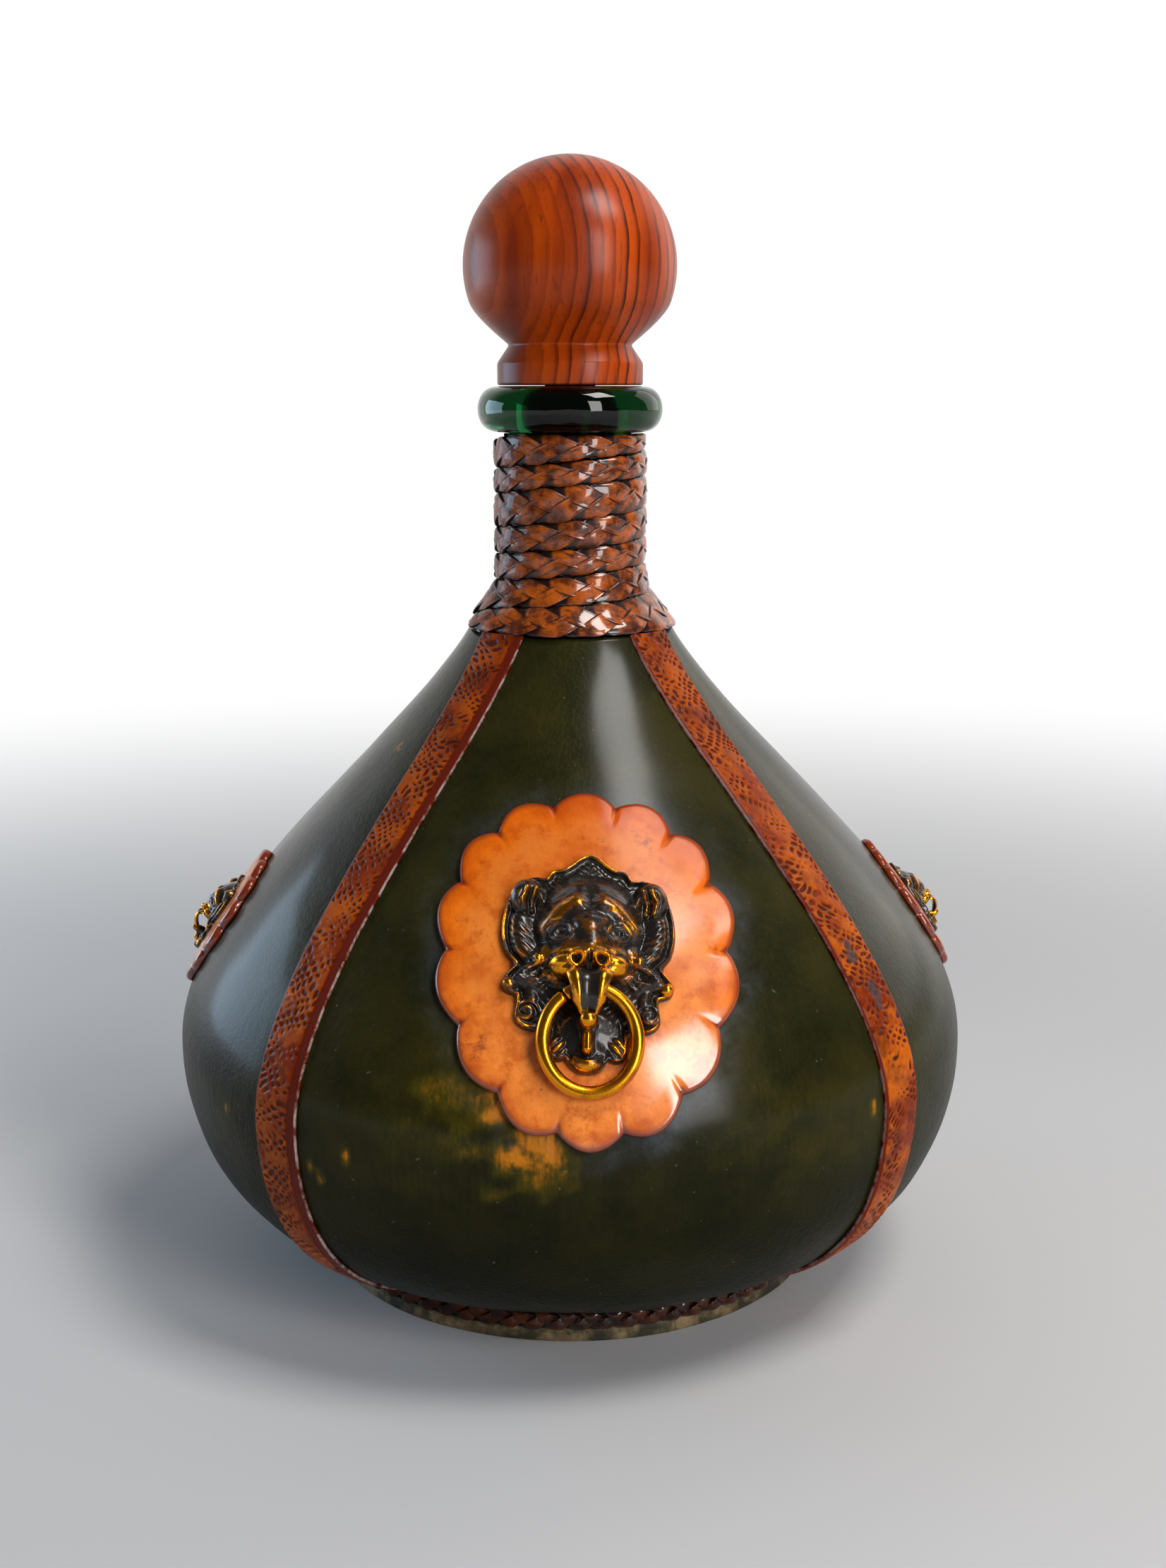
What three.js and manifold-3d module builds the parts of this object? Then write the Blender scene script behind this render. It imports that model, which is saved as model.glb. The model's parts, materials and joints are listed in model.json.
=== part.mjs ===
// A leather-wrapped glass bottle with brass lion masks and a turned wooden stopper.
// Millimetres, +Z up. The bottle stands on z = 0, its axis is the Z axis and its front faces -Y.
import * as THREE from "three";
import { mergeVertices } from "three/addons/utils/BufferGeometryUtils.js";
import Module from "manifold-3d";

const wasm = await Module();
wasm.setup();

// Fits
const clearance = 0.3; // between pieces that rest on each other
const seamGap = 0.5; // between two leather panels, under a strap

// Leather body, measured over the panels
const bellyRadius = 116;
const bellyHeight = 69.5; // height of the widest ring
const bellyRise = 39.5; // how far the belly's roundness reaches upwards
const bellyDrop = 28; // and downwards
const heelRadius = 73.5; // lower edge of the panels
const heelHeight = 10.2;
const heelReach = 28.8; // how far the underside's slope carries outwards from the heel
const heelLift = 8.7; // and upwards
const shoulderRadius = 29.4; // upper edge of the panels
const shoulderHeight = 188.5;
const shoulderReach = 17.3; // how far the shoulder's slope carries outwards from its top
const shoulderDrop = 31.1; // and downwards
const panelThickness = 1.6;

// Embossed straps over the panel joints
const strapWidth = 15.4;
const strapThickness = 1.1;
const strapFootGap = 4; // from the panels' lower edge to the strap's end

// Glass bottle
const glassWall = 3.6;
const glassFloor = 6;
const footRadius = 69.4;
const neckRadius = 17.5;
const neckStraightHeight = 207; // where the shoulder has become the straight neck
const neckFlare = 9.5; // how far the shoulder's slope carries into the neck
const lipRadius = 26.4;
const lipBottomHeight = 244.2;
const lipTopHeight = 257;

// Sole and foot braid
const soleRadius = 73.5;
const soleThickness = 4;
const footBraidWidth = 6;
const footBraidSeam = 0.6; // between its two ends, at the back

// Neck braid
const braidThickness = 4.4;
const braidPitch = 8.3;
const braidGap = 0.6; // between one turn and the next
const braidStartAngle = -20; // degrees from the front, to the right
const braidStartLift = 0.65; // from the panels' upper edge to the first turn
const braidEndWidth = 3; // the last turn tapers to this under the lip
const braidTuckTurn = 0.19; // share of a turn by which the start tapers in under the climb
const braidLevelTurn = 0.65; // share of the first turn that lies level before it climbs
const braidClimbTurn = 0.3; // share of a turn in which it climbs over its own start

// Stopper
const ballRadius = 30.1;
const ballCentreHeight = 289.9;
const waistRadius = 17.3;
const waistHeight = 268.4;
const collarRadius = 20.7;
const collarShoulderHeight = 263.4;
const collarGap = 0.3; // from the lip's top to the collar
const ballCoveHeight = 274.6; // where the ball leaves its round form for the cove
const corkDepth = 32; // below the collar
const corkTaper = 0.8; // on the radius, from top to bottom
const tenonRadius = 7; // of the knob, in the cork
const tenonLength = 14;

// Front medallion and lion mask
const medallionWidth = 80;
const medallionHeight = 96;
const medallionThickness = 1.8;
const scallopDepth = 3.2;
const scallopCount = 14;
const frontHeight = 115.7; // of the medallion's centre, on the leather
const medallionShift = -1.8; // sideways from the front line
const medallionLean = 1.5; // degrees, its top to the right
const maskShift = -1.9;
const maskLean = 3.5;
const maskWidth = 43.6;
const maskFlange = 1.2;

// Pull ring in the front lion's mouth
const ringHalfWidth = 11.65; // to the wire's middle
const ringHalfHeight = 12.8;
const ringWire = 3.4;
const ringSplit = 0.5; // the open joint in the wire
const ringSplitAngle = -43.5; // degrees round the ring from its top
const hingeDrop = 9.9; // from the mask's centre
const hingeLift = 5.4; // out from the mask's back
const hingeClearance = 0.8;

// Side medallions and masks
const sideHeight = 103.6;
const sideMedallionWidth = 38;
const sideMedallionHeight = 46;
const sideScallopDepth = 1.5;
const sideMaskWidth = 19.6;

// Facets
const roundSteps = 32; // round the body, so that each strap lies on an edge
const bodyRows = 14;
const neckRows = 5;
const lipSteps = 6;
const braidSteps = 24; // for one turn
const footBraidSteps = 48;
const wireSteps = 32;
const wireSides = 8;
const ballSteps = 11;
const holeSides = 16;
const strapColumns = 4;
const medallionRings = 4;
const frontLobeSteps = 4; // for one scallop
const sideLobeSteps = 2;
const maskSpokes = 52;
const maskRings = 3;
const seatSpokes = 20;
const frontFormSteps = 10; // round each rounded form of a face
const sideFormSteps = 6;
const searchSteps = 40; // halvings of a span when a place along a curve is looked for
const sameSpot = 1e-4; // points this close are one

const fullTurn = Math.PI * 2;
const radians = THREE.MathUtils.degToRad;
const smoothstep = THREE.MathUtils.smoothstep;

// The meridian of the leather body from the heel to the shoulder, as (radius, height).
const belly = new THREE.Vector2(bellyRadius, bellyHeight);
const heel = new THREE.Vector2(heelRadius, heelHeight);
const shoulder = new THREE.Vector2(shoulderRadius, shoulderHeight);
const meridian = new THREE.CurvePath();
meridian.add(
  new THREE.CubicBezierCurve(
    heel,
    new THREE.Vector2(heelRadius + heelReach, heelHeight + heelLift),
    new THREE.Vector2(bellyRadius, bellyHeight - bellyDrop),
    belly,
  ),
);
meridian.add(
  new THREE.CubicBezierCurve(
    belly,
    new THREE.Vector2(bellyRadius, bellyHeight + bellyRise),
    new THREE.Vector2(shoulderRadius + shoulderReach, shoulderHeight - shoulderDrop),
    shoulder,
  ),
);
const meridianLength = meridian.getLength();

// The meridian's point and outward normal at a distance along it from the heel.
function onMeridian(distance) {
  const share = THREE.MathUtils.clamp(distance / meridianLength, 0, 1);
  const point = meridian.getPoint(share);
  const along = meridian.getTangent(share);
  return { point, normal: new THREE.Vector2(along.y, -along.x) };
}

// A point of the meridian moved out along its normal, inwards where lift is negative.
function liftedPoint(distance, lift) {
  const { point, normal } = onMeridian(distance);
  return point.addScaledVector(normal, lift);
}

// The distance along the meridian at which it reaches a height.
function distanceAtHeight(height) {
  let low = 0;
  let high = meridianLength;
  for (let step = 0; step < searchSteps; step++) {
    const middle = (low + high) / 2;
    if (onMeridian(middle).point.y < height) low = middle;
    else high = middle;
  }
  return (low + high) / 2;
}

// A point at an angle round the axis: 0 is the front, -Y, and a quarter turn is the right, +X.
function aroundAxis(radius, angle, height) {
  return new THREE.Vector3(radius * Math.sin(angle), -radius * Math.cos(angle), height);
}

function onBody(distance, angle, lift) {
  const point = liftedPoint(distance, lift);
  return aroundAxis(point.x, angle, point.y);
}

// Closed meshes from points
function meshGeometry(points, faces) {
  const geometry = new THREE.BufferGeometry().setFromPoints(points);
  geometry.setIndex(faces);
  geometry.computeVertexNormals();
  return geometry;
}

function addQuad(faces, a, b, c, d) {
  faces.push(a, b, c, a, c, d);
}

// A slab between an outer and an inner surface, each a function of column and row.
function slabGeometry(columns, rows, outer, inner) {
  const points = [];
  const faces = [];
  const wide = columns + 1;
  const layer = wide * (rows + 1);
  for (const surface of [outer, inner])
    for (let row = 0; row <= rows; row++)
      for (let column = 0; column <= columns; column++) points.push(surface(column, row));
  const front = (column, row) => row * wide + column;
  const back = (column, row) => layer + front(column, row);
  for (let row = 0; row < rows; row++)
    for (let column = 0; column < columns; column++) {
      const next = column + 1;
      const above = row + 1;
      addQuad(faces, front(column, row), front(next, row), front(next, above), front(column, above));
      addQuad(faces, back(column, row), back(column, above), back(next, above), back(next, row));
    }
  for (let column = 0; column < columns; column++) {
    const next = column + 1;
    addQuad(faces, front(column, 0), back(column, 0), back(next, 0), front(next, 0));
    addQuad(faces, front(column, rows), front(next, rows), back(next, rows), back(column, rows));
  }
  for (let row = 0; row < rows; row++) {
    const above = row + 1;
    addQuad(faces, front(0, row), front(0, above), back(0, above), back(0, row));
    addQuad(faces, front(columns, row), back(columns, row), back(columns, above), front(columns, above));
  }
  return meshGeometry(points, faces);
}

// A disc between an outer and an inner surface, each a function of spoke and ring, with ring 0 its centre.
function discGeometry(spokes, rings, outer, inner) {
  const points = [];
  const faces = [];
  const layer = 1 + spokes * rings;
  for (const surface of [outer, inner]) {
    points.push(surface(0, 0));
    for (let ring = 1; ring <= rings; ring++)
      for (let spoke = 0; spoke < spokes; spoke++) points.push(surface(spoke, ring));
  }
  const front = (spoke, ring) => 1 + (ring - 1) * spokes + (spoke % spokes);
  const back = (spoke, ring) => layer + front(spoke, ring);
  for (let spoke = 0; spoke < spokes; spoke++) {
    const next = spoke + 1;
    faces.push(0, front(spoke, 1), front(next, 1));
    faces.push(layer, back(next, 1), back(spoke, 1));
    for (let ring = 1; ring < rings; ring++) {
      addQuad(faces, front(spoke, ring), front(spoke, ring + 1), front(next, ring + 1), front(next, ring));
      addQuad(faces, back(spoke, ring), back(next, ring), back(next, ring + 1), back(spoke, ring + 1));
    }
    addQuad(faces, front(spoke, rings), back(spoke, rings), back(next, rings), front(next, rings));
  }
  return meshGeometry(points, faces);
}

// A tube through rings of points, each counter-clockwise as seen from the tube's start, with flat ends.
function tubeGeometry(rings) {
  const sides = rings[0].length;
  const points = rings.flat();
  const faces = [];
  const last = rings.length - 1;
  const at = (ring, side) => ring * sides + (side % sides);
  for (let ring = 0; ring < last; ring++)
    for (let side = 0; side < sides; side++)
      addQuad(faces, at(ring, side), at(ring + 1, side), at(ring + 1, side + 1), at(ring, side + 1));
  for (let side = 1; side < sides - 1; side++) {
    faces.push(at(0, 0), at(0, side), at(0, side + 1));
    faces.push(at(last, 0), at(last, side + 1), at(last, side));
  }
  return meshGeometry(points, faces);
}

// A solid of revolution about Z from points (radius, height), from the axis below to the axis above.
function turnedGeometry(profile, steps) {
  return new THREE.LatheGeometry(profile, steps).rotateX(Math.PI / 2);
}

// Solids for joining and cutting
function solidOf(geometry) {
  const bare = geometry.clone();
  bare.deleteAttribute("normal");
  bare.deleteAttribute("uv");
  const merged = mergeVertices(bare, sameSpot);
  return new wasm.Manifold(
    new wasm.Mesh({
      numProp: 3,
      vertProperties: merged.attributes.position.array,
      triVerts: new Uint32Array(merged.index.array),
    }),
  );
}

function geometryOf(solid) {
  const mesh = solid.getMesh();
  const geometry = new THREE.BufferGeometry();
  geometry.setAttribute("position", new THREE.BufferAttribute(mesh.vertProperties, mesh.numProp));
  geometry.setIndex(new THREE.BufferAttribute(mesh.triVerts, 1));
  geometry.computeVertexNormals();
  return geometry;
}

// Materials
function finish(color, roughness, metalness = 0) {
  return new THREE.MeshStandardMaterial({ color, roughness, metalness });
}
const greenGlass = finish(0x0a2412, 0.08);
const greenLeather = finish(0x1c1f0d, 0.32);
const strapLeather = finish(0x7a2e0e, 0.45);
const tanLeather = finish(0xa4511c, 0.4);
const braidLeather = finish(0x5c240c, 0.42);
const soleLeather = finish(0x4a4526, 0.6);
const agedBrass = finish(0x6b4a17, 0.35, 1);
const brightBrass = finish(0xb98a2c, 0.22, 1);
const turnedWood = finish(0x8a3a12, 0.35);
const corkBark = finish(0x9a7448, 0.85);

const bottle = new THREE.Group();

function addPiece(name, geometry, material) {
  const piece = new THREE.Mesh(geometry, material);
  piece.name = name;
  bottle.add(piece);
}

// Glass: outside from the foot to the lip, then inside from the bore to the floor
const glassLift = -panelThickness - clearance;
const baseHeight = soleThickness + clearance;
const bodyDistance = (row) => (meridianLength * row) / bodyRows;
const boreRadius = neckRadius - glassWall;

const glassShoulder = onMeridian(meridianLength);
const glassShoulderPoint = liftedPoint(meridianLength, glassLift);
const shoulderSlope = new THREE.Vector2(-glassShoulder.normal.y, glassShoulder.normal.x);
const neckCurve = new THREE.CubicBezierCurve(
  glassShoulderPoint,
  glassShoulderPoint.clone().addScaledVector(shoulderSlope, neckFlare),
  new THREE.Vector2(neckRadius, neckStraightHeight - neckFlare),
  new THREE.Vector2(neckRadius, neckStraightHeight),
);

const neckPoints = neckCurve.getPoints(neckRows);

// The glass's outer radius at a height between the panels' upper edge and the lip.
function neckRadiusAt(height) {
  const next = neckPoints.findIndex((point) => point.y > height);
  if (next < 0) return neckRadius;
  const above = neckPoints[next];
  const below = neckPoints[Math.max(next - 1, 0)];
  return THREE.MathUtils.mapLinear(height, below.y, above.y, below.x, above.x);
}

function glassProfile() {
  const profile = [new THREE.Vector2(0, baseHeight), new THREE.Vector2(footRadius, baseHeight)];
  const heelPoint = liftedPoint(0, glassLift);
  profile.push(new THREE.Vector2(footRadius, heelHeight));
  for (let row = 0; row <= bodyRows; row++) profile.push(liftedPoint(bodyDistance(row), glassLift));
  profile.push(...neckPoints.slice(1));
  // The lip's section is two arcs: a full bulge outside, and an easy round into the bore
  const lipMiddle = (lipRadius + boreRadius) / 2;
  const bulge = (lipTopHeight - lipBottomHeight) / 2;
  profile.push(new THREE.Vector2(neckRadius, lipBottomHeight));
  for (let step = 0; step <= lipSteps; step++) {
    const angle = Math.PI * (step / lipSteps - 0.5);
    const radius = lipMiddle + (lipRadius - lipMiddle) * Math.cos(angle);
    profile.push(new THREE.Vector2(radius, lipBottomHeight + bulge * (1 + Math.sin(angle))));
  }
  const mouthRound = lipMiddle - boreRadius;
  for (let step = 1; step <= lipSteps / 2; step++) {
    const angle = (Math.PI * step) / lipSteps;
    const radius = lipMiddle - mouthRound * Math.sin(angle);
    profile.push(new THREE.Vector2(radius, lipTopHeight - bulge * (1 - Math.cos(angle))));
  }
  profile.push(new THREE.Vector2(boreRadius, neckStraightHeight));
  const innerLift = glassLift - glassWall;
  for (let row = bodyRows; row >= 0; row -= 2) profile.push(liftedPoint(bodyDistance(row), innerLift));
  const floorHeight = baseHeight + glassFloor;
  profile.push(new THREE.Vector2(heelPoint.x - glassWall - glassFloor, floorHeight));
  profile.push(new THREE.Vector2(0, floorHeight));
  return profile;
}
addPiece("glass_bottle", turnedGeometry(glassProfile(), roundSteps), greenGlass);

// Leather panels, a quarter of the body each
const quarterNames = ["front", "right", "back", "left"];
const quarterSteps = roundSteps / quarterNames.length;
const quarterTurn = fullTurn / quarterNames.length;

function panelSurface(middleAngle, lift) {
  return (column, row) => {
    const distance = bodyDistance(row);
    const seam = seamGap / 2 / onMeridian(distance).point.x;
    const angle = quarterTurn * (column / quarterSteps - 0.5);
    const kept = THREE.MathUtils.clamp(angle, seam - quarterTurn / 2, quarterTurn / 2 - seam);
    return onBody(distance, middleAngle + kept, lift);
  };
}
quarterNames.forEach((side, index) => {
  const angle = index * quarterTurn;
  const outer = panelSurface(angle, 0);
  const inner = panelSurface(angle, -panelThickness);
  addPiece(`panel_${side}`, slabGeometry(quarterSteps, bodyRows, outer, inner), greenLeather);
});

// Straps of even width over the four panel joints
const strapNames = ["front_right", "back_right", "back_left", "front_left"];

function strapSurface(middleAngle, lift) {
  return (column, row) => {
    const distance = row === 0 ? strapFootGap : bodyDistance(row);
    const across = strapWidth * (column / strapColumns - 0.5);
    return onBody(distance, middleAngle + across / onMeridian(distance).point.x, lift);
  };
}
strapNames.forEach((side, index) => {
  const angle = (index + 0.5) * quarterTurn;
  const outer = strapSurface(angle, clearance + strapThickness);
  const inner = strapSurface(angle, clearance);
  addPiece(`strap_${side}`, slabGeometry(strapColumns, bodyRows, outer, inner), strapLeather);
});

// Sole and the braid round the foot, a single loop whose ends meet at the back
const soleProfile = [
  new THREE.Vector2(0, 0),
  new THREE.Vector2(soleRadius, 0),
  new THREE.Vector2(soleRadius, soleThickness),
  new THREE.Vector2(0, soleThickness),
];
addPiece("sole", turnedGeometry(soleProfile, roundSteps), soleLeather);

// A braid's section is a flattened hexagon, as shares of its thickness outwards and of its width upwards.
const braidShape = [
  [0, 0.25],
  [0.5, 0],
  [1, 0.25],
  [1, 0.75],
  [0.5, 1],
  [0, 0.75],
];

function footBraidRings() {
  const inner = footRadius + clearance;
  const low = soleThickness + clearance;
  const high = heelHeight - clearance;
  const half = Math.PI - footBraidSeam / 2 / inner;
  const rings = [];
  for (let step = 0; step <= footBraidSteps; step++) {
    const angle = half * ((2 * step) / footBraidSteps - 1);
    rings.push(
      braidShape.map(([out, up]) => aroundAxis(inner + footBraidWidth * out, angle, low + (high - low) * up)),
    );
  }
  return rings;
}
addPiece("foot_braid", tubeGeometry(footBraidRings()), braidLeather);

// Neck braid: one cord wound upwards. Its lower edge lies level for most of the first turn, climbs over its
// own tapered start and then rises steadily. Its upper edge stays one gap below the next turn, and ends under
// the lip.
const braidLowHeight = shoulderHeight + braidStartLift;
const braidTopHeight = lipBottomHeight - clearance;
const braidTurns = (braidTopHeight - braidEndWidth - braidLowHeight) / braidPitch;

function braidLowerEdge(turn) {
  const climb = smoothstep(turn, braidLevelTurn, braidLevelTurn + braidClimbTurn);
  return braidLowHeight + braidPitch * (turn < 1 ? climb : turn);
}

function braidSection(turn) {
  const low = braidLowerEdge(Math.max(turn, 0));
  const high = Math.min(braidLowerEdge(turn + 1) - braidGap, braidTopHeight);
  return braidShape.map(([out, up]) => {
    const height = low + (high - low) * up;
    return { radius: neckRadiusAt(height) + clearance + braidThickness * out, height };
  });
}

function braidRings() {
  const ringAt = (turn) => {
    const angle = radians(braidStartAngle) + turn * fullTurn;
    return braidSection(turn).map(({ radius, height }) => aroundAxis(radius, angle, height));
  };
  const wound = braidTuckTurn + braidTurns;
  const steps = Math.round(wound * braidSteps);
  const rings = [];
  for (let step = 0; step <= steps; step++) rings.push(ringAt((wound * step) / steps - braidTuckTurn));
  // Both ends run straight on for one thickness
  const straightRun = (turn, run) => {
    const angle = radians(braidStartAngle) + turn * fullTurn;
    const along = new THREE.Vector3(Math.cos(angle), Math.sin(angle), 0);
    const section = braidSection(turn + run / (fullTurn * (neckRadius + braidThickness)));
    return section.map(({ radius, height }) => aroundAxis(radius, angle, height).addScaledVector(along, run));
  };
  return [straightRun(-braidTuckTurn, -braidThickness), ...rings, straightRun(braidTurns, braidThickness)];
}

// The least distance between points of rings that are half a turn or more apart along the cord.
function leastGap(rings, apart) {
  let least = Infinity;
  for (let first = 0; first < rings.length; first++)
    for (let second = first + apart; second < rings.length; second++)
      for (const point of rings[first])
        for (const other of rings[second]) least = Math.min(least, point.distanceTo(other));
  return least;
}
const neckBraidRings = braidRings();
console.log(`neck_braid least gap to itself ${leastGap(neckBraidRings, braidSteps / 2).toFixed(2)} mm`);
addPiece("neck_braid", tubeGeometry(neckBraidRings), braidLeather);

// A place on the leather for an ornament: u runs to the right along the leather, v up it and n out of it.
function ornamentPlace(angle, height, shift, lean) {
  return { angle, distance: distanceAtHeight(height), shift, lean: radians(lean) };
}

function bodySpot(place, u, v) {
  const right = u * Math.cos(place.lean) + v * Math.sin(place.lean) + place.shift;
  const up = v * Math.cos(place.lean) - u * Math.sin(place.lean);
  const distance = place.distance + up;
  return { distance, angle: place.angle + right / onMeridian(distance).point.x };
}

function placePoint(place, u, v, n) {
  const { distance, angle } = bodySpot(place, u, v);
  return onBody(distance, angle, n);
}

// The frame at a place's (u, v, n), with its axes along u, v and n.
function placeFrame(place, u, v, n) {
  const { distance, angle } = bodySpot(place, u, v);
  const { normal } = onMeridian(distance);
  const out = aroundAxis(normal.x, angle, normal.y);
  const right = new THREE.Vector3(Math.cos(angle), Math.sin(angle), 0);
  const up = new THREE.Vector3().crossVectors(out, right);
  const leanRight = right.multiplyScalar(Math.cos(place.lean)).addScaledVector(up, -Math.sin(place.lean));
  const leanUp = new THREE.Vector3().crossVectors(out, leanRight);
  return new THREE.Matrix4().makeBasis(leanRight, leanUp, out).setPosition(onBody(distance, angle, n));
}

// Scalloped medallions: an oval whose edge is a row of round lobes, laid on the leather
function medallionGeometry(place, width, height, depth, lobeSteps) {
  const spokes = scallopCount * lobeSteps;
  const surface = (lift) => (spoke, ring) => {
    const angle = (fullTurn * spoke) / spokes;
    const notch = depth * (1 - Math.abs(Math.cos((scallopCount * angle) / 2)));
    const share = ring / medallionRings;
    const u = (width / 2 - notch) * Math.sin(angle) * -share;
    const v = (height / 2 - notch) * Math.cos(angle) * share;
    return placePoint(place, u, v, lift);
  };
  return discGeometry(spokes, medallionRings, surface(clearance + medallionThickness), surface(clearance));
}

// The lion mask, drawn for the front one and scaled for the side ones
const maskDrawnWidth = 43.6; // of the outline below
const maskSeat = clearance + medallionThickness + clearance;

// Right half of the mask's outline from the tuft on the crown to the chin, as (u, v)
const maskOutline = [
  [0, 27],
  [6.9, 23],
  [9.5, 22.6],
  [14, 20.7],
  [18.6, 17.4],
  [21.6, 8.6],
  [20.8, -0.2],
  [18.9, -4.7],
  [21.2, -9.3],
  [17.8, -11.3],
  [17.9, -16.8],
  [13.5, -20],
  [10.2, -21.6],
  [8.5, -26.6],
  [5.2, -26.7],
  [0, -31.2],
];

function maskContour() {
  const right = maskOutline.map(([u, v]) => new THREE.Vector2(u, v));
  const left = maskOutline.slice(1, -1).map(([u, v]) => new THREE.Vector2(-u, v));
  const loop = [...left, right.at(-1), ...right.slice(0, -1).reverse()];
  const closed = new THREE.CatmullRomCurve3(
    loop.map(({ x, y }) => new THREE.Vector3(x, y, 0)),
    true,
    "centripetal",
  );
  return closed.getSpacedPoints(maskSpokes).slice(0, maskSpokes);
}
const contour = maskContour();

// Rounded forms of the face: centre (u, v, n above the seat) and half sizes along u, v and n
const faceForms = [
  { name: "skull", at: [0, 6.5, 0.5], half: [14, 15, 7.8] },
  { name: "crown tuft", at: [0, 22.5, 0.8], half: [4, 4, 2] },
  { name: "muzzle", at: [0, -2.2, 2.6], half: [8.4, 5.6, 8.6] },
  { name: "tongue ball", at: [0, -17.6, 4.9], half: [3.5, 3.4, 3.4] },
  { name: "beard", at: [0, -23, 0.8], half: [2.4, 4.6, 2.8] },
  { name: "chin", at: [0, -28.2, 0.7], half: [4.4, 2.5, 2] },
];
const pairedForms = [
  { name: "ear", at: [15.3, 14.6, 0.8], half: [3.4, 4.4, 2.2] },
  { name: "brow", at: [6.8, 9.4, 6], half: [4.8, 2.6, 2.6] },
  { name: "cheek mane", at: [16.6, 2.6, 0.4], half: [3.2, 7.4, 2] },
  { name: "upper scroll", at: [18.8, -8.8, 0.7], half: [2, 2, 1.6] },
  { name: "lower scroll", at: [14.9, -16.4, 0.4], half: [2.4, 2.8, 1.4] },
];
// The tongue's side outline over the ring, as (v, n above the seat), and its width
const tongueOutline = [
  [-5, -1],
  [-5, 10.4],
  [-8, 10.8],
  [-14, 9.8],
  [-18, 7.6],
  [-18, -1],
];
const tongueWidth = 8.4;

function maskGeometry(place, width, sphereSteps, cut) {
  const size = width / maskDrawnWidth;
  const flat = (lift) => (spoke, ring) => {
    const share = (size * ring) / maskRings;
    return placePoint(place, contour[spoke].x * share, contour[spoke].y * share, maskSeat + lift);
  };
  const flange = discGeometry(maskSpokes, maskRings, flat(maskFlange), flat(-maskFlange));
  const form = ({ at, half }, sense) => {
    const [u, v, n] = at.map((value) => value * size);
    const ball = new THREE.SphereGeometry(1, sphereSteps, sphereSteps / 2).rotateX(Math.PI / 2);
    ball.scale(...half.map((value) => value * size));
    return ball.applyMatrix4(placeFrame(place, u * sense, v, maskSeat + n));
  };
  const side = new THREE.Shape(tongueOutline.map(([v, n]) => new THREE.Vector2(v * size, n * size)));
  const tongue = new THREE.ExtrudeGeometry(side, { depth: tongueWidth * size, bevelEnabled: false });
  // The outline's (v, n) becomes the place's v and n, and the depth its u
  tongue.translate(0, 0, (-tongueWidth * size) / 2);
  tongue.applyMatrix4(new THREE.Matrix4().set(0, 0, 1, 0, 1, 0, 0, 0, 0, 1, 0, 0, 0, 0, 0, 1));
  tongue.applyMatrix4(placeFrame(place, 0, 0, maskSeat));
  let solid = solidOf(flange).add(solidOf(tongue));
  for (const shape of faceForms) solid = solid.add(solidOf(form(shape, 1)));
  for (const shape of pairedForms)
    for (const sense of [1, -1]) solid = solid.add(solidOf(form(shape, sense)));
  // What reaches below the seat is cut away to the medallion's curve
  const seat = (lift) => (spoke, ring) => {
    const angle = (fullTurn * spoke) / seatSpokes;
    const reach = (width * ring) / maskRings;
    return placePoint(place, -reach * Math.sin(angle), reach * Math.cos(angle), lift);
  };
  const under = discGeometry(seatSpokes, maskRings, seat(maskSeat), seat(maskSeat - width));
  solid = solid.subtract(solidOf(under));
  for (const geometry of cut) solid = solid.subtract(solidOf(geometry));
  return geometryOf(solid);
}

// Pull ring: an oval wire, open at its joint, that hangs from the mouth and rests on the medallion
const frontMask = ornamentPlace(0, frontHeight, maskShift, maskLean);
const mouthScale = maskWidth / maskDrawnWidth;
const hinge = placePoint(frontMask, 0, -hingeDrop * mouthScale, maskSeat + hingeLift * mouthScale);
const wireRadius = ringWire / 2;

// The direction from the hinge to the ring's lowest point where the wire meets the medallion.
function ringHang() {
  const lift = maskSeat + wireRadius;
  const hingeAngle = Math.atan2(hinge.x, -hinge.y);
  const start = frontMask.distance - hingeDrop * mouthScale;
  const ringHeight = 2 * ringHalfHeight;
  let near = 0;
  let far = 2 * ringHeight;
  for (let step = 0; step < searchSteps; step++) {
    const middle = (near + far) / 2;
    if (onBody(start - middle, hingeAngle, lift).distanceTo(hinge) < ringHeight) near = middle;
    else far = middle;
  }
  return onBody(start - near, hingeAngle, lift).sub(hinge).normalize();
}
const hang = ringHang().setX(0).normalize();
console.log(`pull_ring hinge at ${hinge.toArray().map((value) => value.toFixed(3))} mm`);
const across = new THREE.Vector3(1, 0, 0);
const ringOut = new THREE.Vector3().crossVectors(hang, across);

function ringRings() {
  const half = Math.PI - ringSplit / 2 / ringHalfWidth;
  const rings = [];
  for (let step = 0; step <= wireSteps; step++) {
    const angle = radians(ringSplitAngle) + Math.PI + half * ((2 * step) / wireSteps - 1);
    const middle = hinge
      .clone()
      .addScaledVector(across, ringHalfWidth * Math.sin(angle))
      .addScaledVector(hang, ringHalfHeight * (1 - Math.cos(angle)));
    const along = across
      .clone()
      .multiplyScalar(ringHalfWidth * Math.cos(angle))
      .addScaledVector(hang, ringHalfHeight * Math.sin(angle))
      .normalize();
    const sideways = new THREE.Vector3().crossVectors(ringOut, along);
    const ring = [];
    for (let side = 0; side < wireSides; side++) {
      const turn = (fullTurn * side) / wireSides;
      ring.push(
        middle
          .clone()
          .addScaledVector(ringOut, wireRadius * Math.cos(turn))
          .addScaledVector(sideways, wireRadius * Math.sin(turn)),
      );
    }
    rings.push(ring);
  }
  return rings;
}
addPiece("pull_ring", tubeGeometry(ringRings()), brightBrass);

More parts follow.
